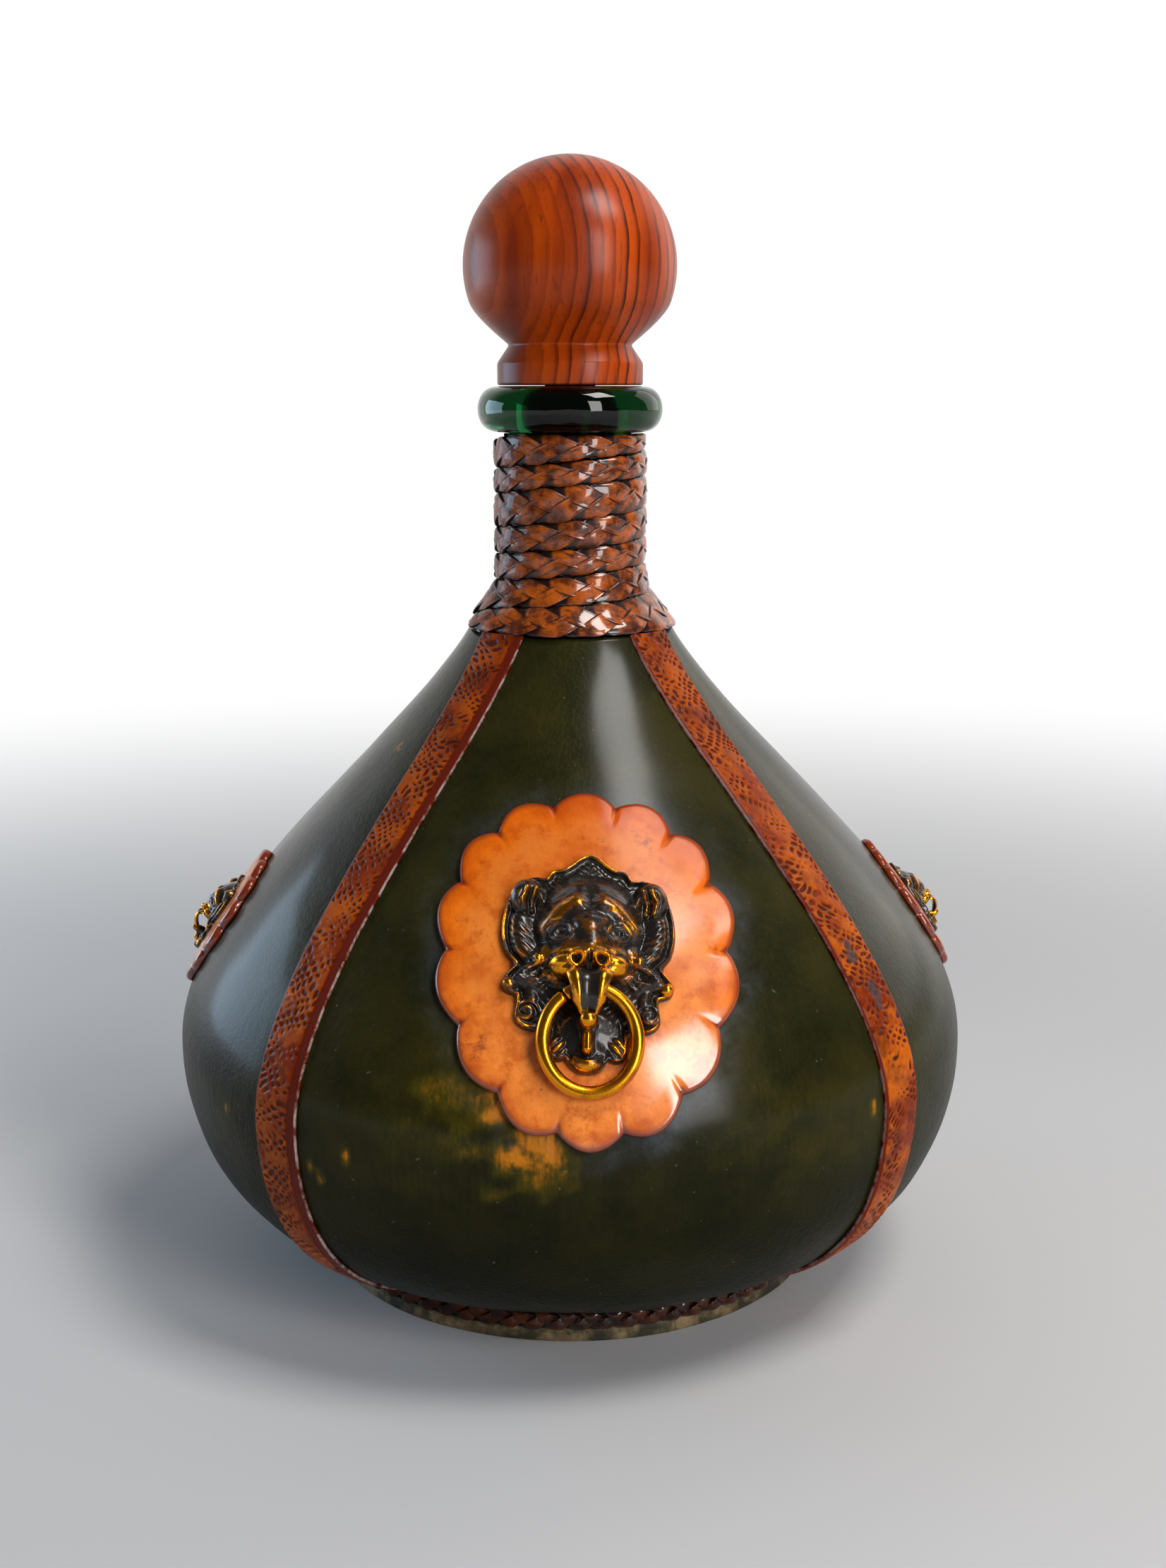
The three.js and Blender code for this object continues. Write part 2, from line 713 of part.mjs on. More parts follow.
// The hole that the ring turns in: wide enough for the wire's bow behind the tongue
const wireBow = ringHalfHeight * (1 - Math.sqrt(1 - (tongueWidth / 2 / ringHalfWidth) ** 2));
const holeRadius = wireRadius + wireBow + hingeClearance;
const hingeHole = new THREE.CylinderGeometry(holeRadius, holeRadius, tongueWidth * 2, holeSides);
hingeHole.rotateZ(Math.PI / 2).translate(hinge.x, hinge.y, hinge.z);

// Ornaments: a large one in front with its ring, a small one on each side
const frontMedallion = ornamentPlace(0, frontHeight, medallionShift, medallionLean);
addPiece(
  "medallion_front",
  medallionGeometry(frontMedallion, medallionWidth, medallionHeight, scallopDepth, frontLobeSteps),
  tanLeather,
);
addPiece("mask_front", maskGeometry(frontMask, maskWidth, frontFormSteps, [hingeHole]), agedBrass);
for (const [side, angle] of [
  ["right", quarterTurn],
  ["left", -quarterTurn],
]) {
  const place = ornamentPlace(angle, sideHeight, 0, 0);
  addPiece(
    `medallion_${side}`,
    medallionGeometry(place, sideMedallionWidth, sideMedallionHeight, sideScallopDepth, sideLobeSteps),
    tanLeather,
  );
  addPiece(`mask_${side}`, maskGeometry(place, sideMaskWidth, sideFormSteps, []), agedBrass);
}

// Stopper: the knob's tenon sits in the cork, and the collar stands just over the lip
const collarHeight = lipTopHeight + collarGap;

function knobProfile() {
  const tenonEnd = collarHeight - tenonLength;
  const profile = [
    new THREE.Vector2(0, tenonEnd),
    new THREE.Vector2(tenonRadius, tenonEnd),
    new THREE.Vector2(tenonRadius, collarHeight),
    new THREE.Vector2(collarRadius, collarHeight),
    new THREE.Vector2(collarRadius, collarShoulderHeight),
    new THREE.Vector2(waistRadius, waistHeight),
  ];
  const low = Math.asin((ballCoveHeight - ballCentreHeight) / ballRadius);
  for (let step = 0; step <= ballSteps; step++) {
    const angle = low + (Math.PI / 2 - low) * (step / ballSteps);
    profile.push(
      new THREE.Vector2(
        step === ballSteps ? 0 : ballRadius * Math.cos(angle),
        ballCentreHeight + ballRadius * Math.sin(angle),
      ),
    );
  }
  return profile;
}
addPiece("stopper_knob", turnedGeometry(knobProfile(), roundSteps), turnedWood);

function corkProfile() {
  const top = collarHeight - clearance;
  const bottom = collarHeight - corkDepth;
  const radius = boreRadius - clearance;
  const socketEnd = collarHeight - tenonLength - clearance;
  const socket = tenonRadius + clearance;
  return [
    new THREE.Vector2(0, bottom),
    new THREE.Vector2(radius - corkTaper, bottom),
    new THREE.Vector2(radius, top),
    new THREE.Vector2(socket, top),
    new THREE.Vector2(socket, socketEnd),
    new THREE.Vector2(0, socketEnd),
  ];
}
addPiece("stopper_cork", turnedGeometry(corkProfile(), roundSteps), corkBark);

export default bottle;
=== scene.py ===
"""Looks of a leather-wrapped bottle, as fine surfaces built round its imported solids.

Lengths are metres. The bottle stands on z = 0, its axis is Z and its front faces -Y.
An angle round the axis is 0 in front and a quarter turn on the right, at +X.
"""
import json
import logging
import math
from dataclasses import dataclass, field
from enum import Enum
from typing import Any, Mapping, Optional, Sequence, Union

import bmesh
import bpy
import numpy as np
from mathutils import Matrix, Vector


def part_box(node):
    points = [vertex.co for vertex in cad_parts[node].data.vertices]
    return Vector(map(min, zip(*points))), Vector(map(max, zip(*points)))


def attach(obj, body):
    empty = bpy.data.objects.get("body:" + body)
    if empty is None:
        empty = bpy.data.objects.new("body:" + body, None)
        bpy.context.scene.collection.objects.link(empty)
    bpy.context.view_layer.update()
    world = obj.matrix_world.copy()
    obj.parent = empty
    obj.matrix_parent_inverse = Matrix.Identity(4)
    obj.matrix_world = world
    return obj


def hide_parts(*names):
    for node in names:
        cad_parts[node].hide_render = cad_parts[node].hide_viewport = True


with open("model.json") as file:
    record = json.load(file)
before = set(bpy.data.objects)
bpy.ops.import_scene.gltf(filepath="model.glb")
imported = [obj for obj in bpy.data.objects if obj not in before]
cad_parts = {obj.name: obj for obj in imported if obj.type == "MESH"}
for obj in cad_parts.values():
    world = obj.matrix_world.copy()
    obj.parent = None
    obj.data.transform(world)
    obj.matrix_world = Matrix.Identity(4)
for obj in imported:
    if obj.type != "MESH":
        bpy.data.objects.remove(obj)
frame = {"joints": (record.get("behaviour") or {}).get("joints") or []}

Array = np.ndarray
Colour = tuple[float, float, float]
Point = tuple[float, float]

log = logging.getLogger("bottle")

FRONT_HEIGHT = 0.1157  # of the middle of the front ornaments
SIDE_HEIGHT = 0.1036  # of the middle of the side ornaments
FULL_TURN = 2 * math.pi
MM = 0.001
GAP = 0.3 * MM  # between pieces that rest on each other
BED = 0.1 * MM  # height of a piece's hidden back over what it rests on
WELD = 1e-7  # points closer than this are one


# Shapes as functions of arrays

def unit(vectors: Array) -> Array:
    """Vectors made one long."""
    return vectors / np.linalg.norm(vectors, axis=-1, keepdims=True)


def full_circle(count: int) -> Array:
    """Even angles round a full turn."""
    return np.arange(count) / count * FULL_TURN


def running_sum(steps: Sequence[float]) -> Array:
    """The sum of the steps before each place, from 0."""
    return np.concatenate([[0], np.cumsum(steps)])


def points_of(u: Array, v: Array, w: Union[Array, float] = 0.0) -> Array:
    """Points with three coordinates, as (..., 3)."""
    return np.stack(np.broadcast_arrays(u, v, w), axis=-1)


def smoothstep(low: float, high: float, value: Array) -> Array:
    """The cubic step 3t² - 2t³, where t runs from 0 at low to 1 at high.

    Args:
        low: Value at which the step starts.
        high: Value at which it is complete, which may be the smaller one.
        value: Where to take the step.

    Returns:
        The step, from 0 to 1.
    """
    share = np.clip((value - low) / (high - low), 0, 1)
    return share * share * (3 - 2 * share)


def hump(distance: Array) -> Array:
    """(1 - d²)² inside d = 1 and nothing outside: a bump with soft feet."""
    return np.clip(1 - distance * distance, 0, 1) ** 2


def dome(distance: Array, power: float = 0.5) -> Array:
    """(1 - d²) to a power inside d = 1 and nothing outside: half an ellipsoid where the power is a half."""
    return np.clip(1 - distance * distance, 0, 1) ** power


def oval(u: Array, v: Array, centre: Point, half: Point) -> Array:
    """Distance from a centre as a share of the two half sizes: 1 on the oval's edge."""
    return np.hypot((u - centre[0]) / half[0], (v - centre[1]) / half[1])


def stroke(u: Array, v: Array, path: Sequence[Point]) -> Array:
    """Least distance to a line through a few points.

    Args:
        u: Places across.
        v: Places up.
        path: Corners of the line.

    Returns:
        The distance to the nearest stretch, each found by projecting onto it and clamping to its ends.
    """
    nearest = np.full(np.shape(u), np.inf)
    for (u0, v0), (u1, v1) in zip(path, path[1:]):
        du, dv = u1 - u0, v1 - v0
        share = np.clip(((u - u0) * du + (v - v0) * dv) / (du * du + dv * dv), 0, 1)
        nearest = np.minimum(nearest, np.hypot(u - u0 - share * du, v - v0 - share * dv))
    return nearest


def smooth_max(first: Array, second: Array, blend: float) -> Array:
    """The larger of two heights, rounded where they come within a blend of each other.

    Args:
        first: One height.
        second: The other.
        blend: Difference of heights below which they are blended.

    Returns:
        The joined height.
    """
    share = np.clip(0.5 + 0.5 * (first - second) / blend, 0, 1)
    return second + (first - second) * share + blend * share * (1 - share)


def unevenness(points: Array, wavelength: float, seed: int, waves: int = 9) -> Array:
    """A gentle swell: the mean of sine waves whose directions, lengths and phases are drawn from a seed.

    Args:
        points: Places, as (..., 3).
        wavelength: Typical length of a wave.
        seed: Of the draw.
        waves: How many waves are added.

    Returns:
        The swell, about -1 to 1.
    """
    draw = np.random.default_rng(seed)
    across = unit(draw.normal(size=(waves, 3)))
    lengths = wavelength * draw.uniform(0.6, 1.7, waves)
    turn = points @ (across / lengths[:, None]).T * FULL_TURN + draw.uniform(0, FULL_TURN, waves)
    return np.sin(turn).mean(axis=-1) * 2


def cubic(ends: Sequence[Point], share: Array) -> Array:
    """Points of a cubic Bezier curve: its four corners weighted by (1-t)³, 3t(1-t)², 3t²(1-t) and t³.

    Args:
        ends: The corners.
        share: How far along the curve, from 0 to 1.

    Returns:
        One point for each share.
    """
    rest = 1 - share
    weights = np.stack([rest**3, 3 * share * rest**2, 3 * share**2 * rest, share**3], axis=-1)
    return weights @ np.array(ends)


def rounded(corners: Sequence[Point], fillet: float, steps: int = 5) -> Array:
    """A profile whose inner corners are replaced by small parabolas.

    Args:
        corners: Corners of the profile, as (radius, height).
        fillet: How far a rounding reaches from its corner, at most half of a side.
        steps: Points on each rounding.

    Returns:
        The profile's points.
    """
    points = np.array(corners)
    before, corner, after = points[:-2], points[1:-1], points[2:]

    def towards(other: Array) -> Array:
        """The point at a fillet's reach from each corner towards a neighbour.

        Args:
            other: The neighbours.

        Returns:
            One point for each corner.
        """
        way = other - corner
        length = np.linalg.norm(way, axis=1, keepdims=True)
        return corner + way / length * np.minimum(fillet, length / 2)

    share = np.linspace(0, 1, steps)[None, :, None]
    first, last = towards(before)[:, None], towards(after)[:, None]
    bends = (1 - share) ** 2 * first + 2 * share * (1 - share) * corner[:, None] + share**2 * last
    return np.vstack([points[:1], bends.reshape(-1, 2), points[-1:]])


def around_axis(radius: Array, angle: Array, height: Array) -> Array:
    """Points at an angle round the axis: (r sin a, -r cos a, z)."""
    return points_of(radius * np.sin(angle), -radius * np.cos(angle), height)


def turned(profile: Array, spokes: int) -> Array:
    """A profile of (radius, height) points carried round the axis, as a grid of rows and spokes."""
    return around_axis(profile[:, :1], full_circle(spokes)[None, :], profile[:, 1:])


# Meshes

def with_ends(fields: Optional[Mapping[str, Array]], shape: tuple[int, int]) -> dict[str, Array]:
    """Values on a grid of a shape, with the first and last rows repeated for the rows that close it.

    Args:
        fields: Named values, or none.
        shape: Rows and columns.

    Returns:
        The values, two rows longer.
    """
    return {
        key: np.pad(np.broadcast_to(value, shape), ((1, 1), (0, 0)), mode="edge")
        for key, value in (fields or {}).items()
    }


@dataclass
class Patch:
    """A closed surface on a grid of rows whose columns run round a section.

    The rows end in points or in seams, or run round in a loop.
    """

    grid: Array
    loop: bool = False
    fields: Mapping[str, Array] = field(default_factory=dict)

    @classmethod
    def capped(cls, grid: Array, fields: Optional[Mapping[str, Array]] = None) -> "Patch":
        """A patch whose first and last rows are drawn together to their centres, which closes both ends."""
        ends = [np.broadcast_to(row.mean(axis=0), row.shape)[None] for row in (grid[0], grid[-1])]
        return cls(np.concatenate([ends[0], grid, ends[1]]), fields=with_ends(fields, grid.shape[:2]))

    @classmethod
    def slab(cls, outer: Array, inner: Array, fields: Mapping[str, Array]) -> "Patch":
        """A patch between two like grids, closed at its ends by seams half way between them.

        Args:
            outer: Points of one face.
            inner: Points of the other.
            fields: Named values of both.

        Returns:
            The closed patch.
        """
        middle = (outer + inner) / 2
        loop = np.concatenate([outer, inner[:, ::-1]], axis=1)
        seam = np.concatenate([middle, middle[:, ::-1]], axis=1)
        both = {key: np.concatenate([value, value[:, ::-1]], axis=1) for key, value in fields.items()}
        return cls(np.concatenate([seam[:1], loop, seam[-1:]]), fields=with_ends(both, loop.shape[:2]))

    def points(self) -> Array:
        """The grid's points in one list."""
        return self.grid.reshape(-1, 3)

    def quads(self) -> Array:
        """Corners of each face, turned so that the volume that they enclose is positive.

        Returns:
            Four numbers of points for each face.
        """
        rows, columns = self.grid.shape[:2]
        index = np.arange(rows * columns).reshape(rows, columns)
        low = index if self.loop else index[:-1]
        high = np.roll(index, -1, axis=0) if self.loop else index[1:]
        sides = (low, np.roll(low, -1, axis=1), np.roll(high, -1, axis=1), high)
        quads = np.stack(sides, axis=-1).reshape(-1, 4)
        a, b, c, d = (self.points()[quads[:, corner]] for corner in range(4))
        volume = np.einsum("ij,ij->", a, np.cross(b, c)) + np.einsum("ij,ij->", a, np.cross(c, d))
        return quads if volume > 0 else quads[:, ::-1]


def mesh_of(name: str, patches: Sequence[Patch]) -> bpy.types.Mesh:
    """A mesh that holds several patches, with their named values on its points.

    Args:
        name: Of the mesh.
        patches: Closed surfaces, all with the same named values.

    Returns:
        The mesh, smooth shaded and with coinciding points welded.
    """
    starts = np.cumsum([0] + [len(patch.points()) for patch in patches])
    points = np.vstack([patch.points() for patch in patches])
    quads = np.vstack([patch.quads() + start for patch, start in zip(patches, starts)])
    mesh = bpy.data.meshes.new(name)
    mesh.vertices.add(len(points))
    mesh.vertices.foreach_set("co", points.astype(np.float32).ravel())
    mesh.loops.add(quads.size)
    mesh.loops.foreach_set("vertex_index", quads.astype(np.int32).ravel())
    mesh.polygons.add(len(quads))
    mesh.polygons.foreach_set("loop_start", np.arange(0, quads.size, 4, dtype=np.int32))
    mesh.update(calc_edges=True)
    for key in patches[0].fields:
        values = [np.broadcast_to(patch.fields[key], patch.grid.shape[:2]).ravel() for patch in patches]
        layer = mesh.attributes.new(key, "FLOAT", "POINT")
        layer.data.foreach_set("value", np.concatenate(values).astype(np.float32))
    welded = bmesh.new()
    welded.from_mesh(mesh)
    bmesh.ops.remove_doubles(welded, verts=welded.verts, dist=WELD)
    welded.to_mesh(mesh)
    welded.free()
    mesh.polygons.foreach_set("use_smooth", np.ones(len(mesh.polygons), dtype=bool))
    mesh.update()
    return mesh


def add_piece(name: str, node: str, patches: Sequence[Patch], finish: "Finish", body: str = "bottle") -> None:
    """Adds a piece to the object in the place of a solid.

    Args:
        name: Of the piece.
        node: The solid that it stands for.
        patches: Its closed surfaces.
        finish: What it is made of.
        body: The body that it moves with.
    """
    mesh = mesh_of(name, patches)
    piece = bpy.data.objects.new(name, mesh)
    bpy.context.scene.collection.objects.link(piece)
    mesh.materials.append(finish.material())
    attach(piece, body)
    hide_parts(node)
    log.info("%s: %d faces for %s", name, len(mesh.polygons), node)


# Shaders

class Field:
    """A socket of a material's nodes that takes part in Python's arithmetic."""

    def __init__(self, graph: "Graph", socket: bpy.types.NodeSocket) -> None:
        """Wraps a socket of a graph."""
        self.graph = graph
        self.socket = socket

    def _math(self, operation: str, first: "Value", second: "Value") -> "Field":
        """The Math node that joins two values."""
        return self.graph.node("ShaderNodeMath", {"operation": operation}, {0: first, 1: second})

    def __add__(self, other: "Value") -> "Field":
        """self + other"""
        return self._math("ADD", self, other)

    def __radd__(self, other: "Value") -> "Field":
        """other + self"""
        return self._math("ADD", other, self)

    def __sub__(self, other: "Value") -> "Field":
        """self - other"""
        return self._math("SUBTRACT", self, other)

    def __rsub__(self, other: "Value") -> "Field":
        """other - self"""
        return self._math("SUBTRACT", other, self)

    def __mul__(self, other: "Value") -> "Field":
        """self * other"""
        return self._math("MULTIPLY", self, other)

    def __rmul__(self, other: "Value") -> "Field":
        """other * self"""
        return self._math("MULTIPLY", other, self)

    def fraction(self) -> "Field":
        """What is left of the value over the whole number below it."""
        return self.graph.node("ShaderNodeMath", {"operation": "FRACT"}, {0: self})

    def step(self, low: float, high: float) -> "Field":
        """0 below low, 1 above high and smooth between them. Low may be the larger one.

        Args:
            low: Where the step starts.
            high: Where it is complete.

        Returns:
            The step.
        """
        ends = (low, high, 0.0, 1.0) if low < high else (high, low, 1.0, 0.0)
        inputs = dict(zip(("From Min", "From Max", "To Min", "To Max"), ends))
        settings = {"interpolation_type": "SMOOTHSTEP"}
        return self.graph.node("ShaderNodeMapRange", settings, {"Value": self, **inputs})


Value = Union[float, Field]


class Graph:
    """The nodes of one material or world."""

    def __init__(self, owner: Union[bpy.types.Material, bpy.types.World]) -> None:
        """Takes a material or a world and clears its nodes.

        Args:
            owner: What the nodes belong to.
        """
        owner.use_nodes = True
        self.tree = owner.node_tree
        self.tree.nodes.clear()

    def node(
        self,
        kind: str,
        settings: Optional[Mapping[str, Any]] = None,
        inputs: Optional[Mapping[Union[int, str], Any]] = None,
        output: Union[int, str] = 0,
    ) -> Field:
        """Adds a node.

        Args:
            kind: The node's type.
            settings: Its own settings, which are set first.
            inputs: Values or links of its sockets. A colour may have three parts.
            output: The socket to return.

        Returns:
            One of its outputs.
        """
        made = self.tree.nodes.new(kind)
        for key, value in (settings or {}).items():
            setattr(made, key, value)
        for key, value in (inputs or {}).items():
            socket = made.inputs[key]
            if isinstance(value, Field):
                self.tree.links.new(value.socket, socket)
            elif socket.type == "RGBA":
                socket.default_value = (*value[:3], 1)
            else:
                socket.default_value = value
        return Field(self, made.outputs[output])

    def place(self) -> Field:
        """Object coordinates, in metres."""
        return self.node("ShaderNodeTexCoord", output="Object")

    def axis(self, name: str) -> Field:
        """One of the object coordinates, X, Y or Z."""
        return self.node("ShaderNodeSeparateXYZ", {}, {"Vector": self.place()}, output=name)

    def stretched(self, scale: tuple[float, float, float]) -> Field:
        """Object coordinates scaled along each axis."""
        return self.node("ShaderNodeMapping", {}, {"Vector": self.place(), "Scale": scale})

    def value(self, name: str) -> Field:
        """A value that the mesh holds on its points."""
        return self.node("ShaderNodeAttribute", {"attribute_name": name}, output="Fac")

    def noise(self, size: float, detail: float = 3, rough: float = 0.55, at: Optional[Field] = None) -> Field:
        """Cloudy noise.

        Args:
            size: Of its largest clouds.
            detail: How many finer layers it has.
            rough: Strength of each finer layer.
            at: Coordinates, or none for the object's own.

        Returns:
            The noise, about 0.25 to 0.75.
        """
        inputs = {"Vector": at or self.place(), "Scale": 1 / size, "Detail": detail, "Roughness": rough}
        return self.node("ShaderNodeTexNoise", {}, inputs)

    def cells(self, size: float) -> Field:
        """Distance to the nearest point of a pattern of cells of a size."""
        return self.node("ShaderNodeTexVoronoi", {}, {"Vector": self.place(), "Scale": 1 / size})

    def mix(self, share: Value, first: Any, second: Any) -> Field:
        """A colour between two colours."""
        settings = {"data_type": "RGBA", "clamp_factor": True}
        return self.node("ShaderNodeMix", settings, {0: share, 6: first, 7: second}, output=2)

    def bump(self, height: Field, depth: float) -> Field:
        """A normal for a relief whose height of 1 is a depth in metres."""
        return self.node("ShaderNodeBump", {}, {"Distance": depth, "Height": height})

    def surface(self, inputs: Mapping[str, Any]) -> None:
        """Ends the graph in one shader with these inputs."""
        self.end("ShaderNodeOutputMaterial", self.node("ShaderNodeBsdfPrincipled", {}, inputs))

    def end(self, kind: str, shader: Field) -> None:
        """Links a shader to an output node of a kind."""
        self.tree.links.new(shader.socket, self.tree.nodes.new(kind).inputs["Surface"])


class Finish:
    """What a piece is made of. Its material is made once and shared."""

    slot: str

    def material(self) -> bpy.types.Material:
        """The finish's material, which is made when it is first asked for.

        Returns:
            The material.
        """
        name = type(self).__name__
        made = bpy.data.materials.get(name)
        if made is None:
            made = bpy.data.materials.new(name)
            self.paint(Graph(made))
        return made

    def paint(self, graph: Graph) -> None:
        """Fills the graph of the finish's material."""
        raise NotImplementedError


@dataclass(frozen=True)
class PanelLeather(Finish):
    """Dark olive leather under a glossy varnish, with fine grain, scuffs, a worn patch and waxy haze."""

    slot: str = "green_leather"
    shade: Colour = (0.0045, 0.0060, 0.0014)
    olive: Colour = (0.027, 0.0235, 0.0042)
    moss: Colour = (0.052, 0.042, 0.0030)
    ochre: Colour = (0.52, 0.175, 0.006)
    fleck: Colour = (0.15, 0.14, 0.085)
    wax: Colour = (0.105, 0.125, 0.16)

    def paint(self, graph: Graph) -> None:
        """Mottled olive with upright fibres, darkened low down by painted shade, and broken by flecks and
        scuffs.

        The mesh's worn value turns it to moss and ochre, and its haze value lays wax over it.

        Args:
            graph: Of the material, still empty.
        """
        cloud = graph.noise(0.03, 4).step(0.3, 0.7)
        fibres = graph.noise(0.0013, 3, at=graph.stretched((1, 1, 0.2)))
        wrinkles = graph.noise(0.0034, 3, 0.5, graph.stretched((1, 1, 0.45)))
        fine = graph.noise(0.0006, 3)
        flecks = graph.noise(0.0019, 2).step(0.73, 0.78)
        scuffs = graph.noise(0.014, 7, 0.72).step(0.67, 0.72) * graph.noise(0.05, 2).step(0.42, 0.6)
        worn = graph.value("worn") * (0.25 + fibres * 1.3) * graph.noise(0.009, 4).step(0.2, 0.6)
        haze = graph.value("haze") * graph.noise(0.011, 5, 0.65).step(0.3, 0.72)
        # Painted shade: the olive fades to the shade colour towards the foot, for the shade low on the belly.
        painted_shade_by_height = graph.axis("Z").step(0.0, 0.085)
        colour = graph.mix((cloud * 0.75 + fibres * 0.45) * painted_shade_by_height, self.shade, self.olive)
        colour = graph.mix(worn.step(0.0, 0.4), colour, self.moss)
        colour = graph.mix(worn.step(0.3, 1.0), colour, self.ochre)
        colour = graph.mix(scuffs * 0.7, colour, self.ochre)
        colour = graph.mix(flecks * 0.5, colour, self.fleck)
        colour = graph.mix(haze * 0.6, colour, self.wax)
        relief = graph.cells(0.0011) * -0.45 + fine * 0.35 + fibres * 0.4 + wrinkles * 1.1
        graph.surface({
            "Base Color": colour,
            "Roughness": 0.3 + fine * 0.16 + haze * 0.2 + scuffs * 0.2,
            "Specular IOR Level": 0.03,
            "Coat Weight": 0.1 + graph.axis("Z").step(0.04, 0.12) * 0.4,
            "Coat Roughness": 0.19,
            "Coat IOR": 1.38,
            "Normal": graph.bump(relief, 0.3 * MM),
        })


@dataclass(frozen=True)
class StrapLeather(Finish):
    """Red-brown leather embossed with a net of veins, worn to orange over darker cells, and stained."""

    slot: str = "strap_leather"
    cell: Colour = (0.050, 0.0080, 0.0026)
    red: Colour = (0.20, 0.023, 0.0020)
    orange: Colour = (0.47, 0.096, 0.0012)
    maroon: Colour = (0.120, 0.0110, 0.0036)
    lost: Colour = (0.058, 0.040, 0.040)
    # Pale cut edge: partly the leather's own paler edge, partly a painted highlight.
    edge: Colour = (0.36, 0.27, 0.25)

    def paint(self, graph: Graph) -> None:
        """Orange veins over brown cells, maroon along the borders, grey where the face is lost, and pale
        along the cut edge, partly the edge's own colour and partly a painted highlight.

        Args:
            graph: Of the material, still empty.
        """
        emboss = graph.value("emboss")
        mottle = graph.noise(0.013, 5, 0.65)
        stains = graph.noise(0.010, 6, 0.7).step(0.47, 0.66)
        fine = graph.noise(0.0008, 3)
        lost = (graph.value("lost") + graph.noise(0.021, 7, 0.72).step(0.655, 0.7)).step(0.15, 0.5)
        colour = graph.mix(emboss.step(0.05, 0.75) * 0.8 + fine * 0.3, self.cell, self.red)
        low = 0.55 + graph.axis("Z").step(0.17, 0.07) * 0.5
        colour = graph.mix(emboss.step(0.25, 1.0) * mottle.step(0.36, 0.62) * low, colour, self.orange)
        colour = graph.mix(stains * 0.6, colour, self.cell)
        colour = graph.mix(graph.value("border") * 0.8, colour, self.maroon)
        colour = graph.mix(lost * 0.85, colour, self.lost)
        # Pale along the cut edge: the edge's own colour with a painted highlight on it.
        colour = graph.mix(graph.value("side") * graph.noise(0.004, 4, 0.7).step(0.4, 0.6), colour, self.edge)
        graph.surface({
            "Base Color": colour,
            "Roughness": 0.35 + fine * 0.16 + lost * 0.2,
            "Specular IOR Level": 0.03,
            "Coat Weight": 0.25,
            "Coat Roughness": 0.2,
            "Coat IOR": 1.34,
            "Normal": graph.bump(fine * 0.6 + graph.noise(0.003, 4), 0.25 * MM),
        })


@dataclass(frozen=True)
class MedallionLeather(Finish):
    """Tan leather, paler in the middle, paler low down with a painted sheen, orange in its lobes, burnished
    dark red along the rim.

    Towards the top it is darker, and its varnish is worn thin.
    """

    slot: str = "tan_leather"
    middle: Colour = (0.74, 0.215, 0.030)
    orange: Colour = (0.84, 0.180, 0.0020)
    pale: Colour = (0.98, 0.300, 0.050)
    russet: Colour = (0.44, 0.060, 0.0025)
    rim: Colour = (0.16, 0.014, 0.004)
    speck: Colour = (0.12, 0.032, 0.016)

    def paint(self, graph: Graph) -> None:
        """The mesh's distance from the rim sets the colour, which is clouded with russet and specked.

        Args:
            graph: Of the material, still empty.
        """
        inside = graph.value("inside")
        cloud = graph.noise(0.015, 5, 0.6)
        mottle = graph.noise(0.0055, 6, 0.7)
        fine = graph.noise(0.0012, 4, 0.6)
        specks = graph.noise(0.0040, 6, 0.75).step(0.645, 0.70)
        blots = graph.noise(0.011, 6, 0.7).step(0.60, 0.70)
        colour = graph.mix(inside.step(0.25, 1.0) * (0.45 + cloud * 0.9), self.orange, self.middle)
        # Painted sheen: the lower part is mixed towards pale, for the light that it catches there.
        colour = graph.mix(graph.axis("Z").step(0.122, 0.080) * 0.8, colour, self.pale)
        # Darker towards the top.
        darker_towards_top = graph.axis("Z").step(0.112, 0.150) * 0.45
        colour = graph.mix(cloud.step(0.6, 0.3) * 0.65 + inside.step(0.6, 0.1) * 0.28, colour, self.russet)
        colour = graph.mix(darker_towards_top, colour, self.russet)
        colour = graph.mix(mottle.step(0.46, 0.66) * 0.6 + fine.step(0.54, 0.72) * 0.3, colour, self.russet)
        colour = graph.mix(blots * 0.45, colour, self.speck)
        colour = graph.mix(specks * 0.65, colour, self.speck)
        colour = graph.mix(inside.step(0.24, 0.03) * 0.9, colour, self.rim)
        graph.surface({
            "Base Color": colour,
            "Roughness": 0.35 + fine * 0.2,
            "Specular IOR Level": 0.04,
            "Coat Weight": 0.12 + graph.axis("Z").step(0.135, 0.095) * 0.88,
            "Coat Roughness": 0.18,
            "Coat IOR": 1.72,
            "Normal": graph.bump(fine * 0.5 + graph.noise(0.0035, 4) * 1.2, 0.28 * MM),
        })


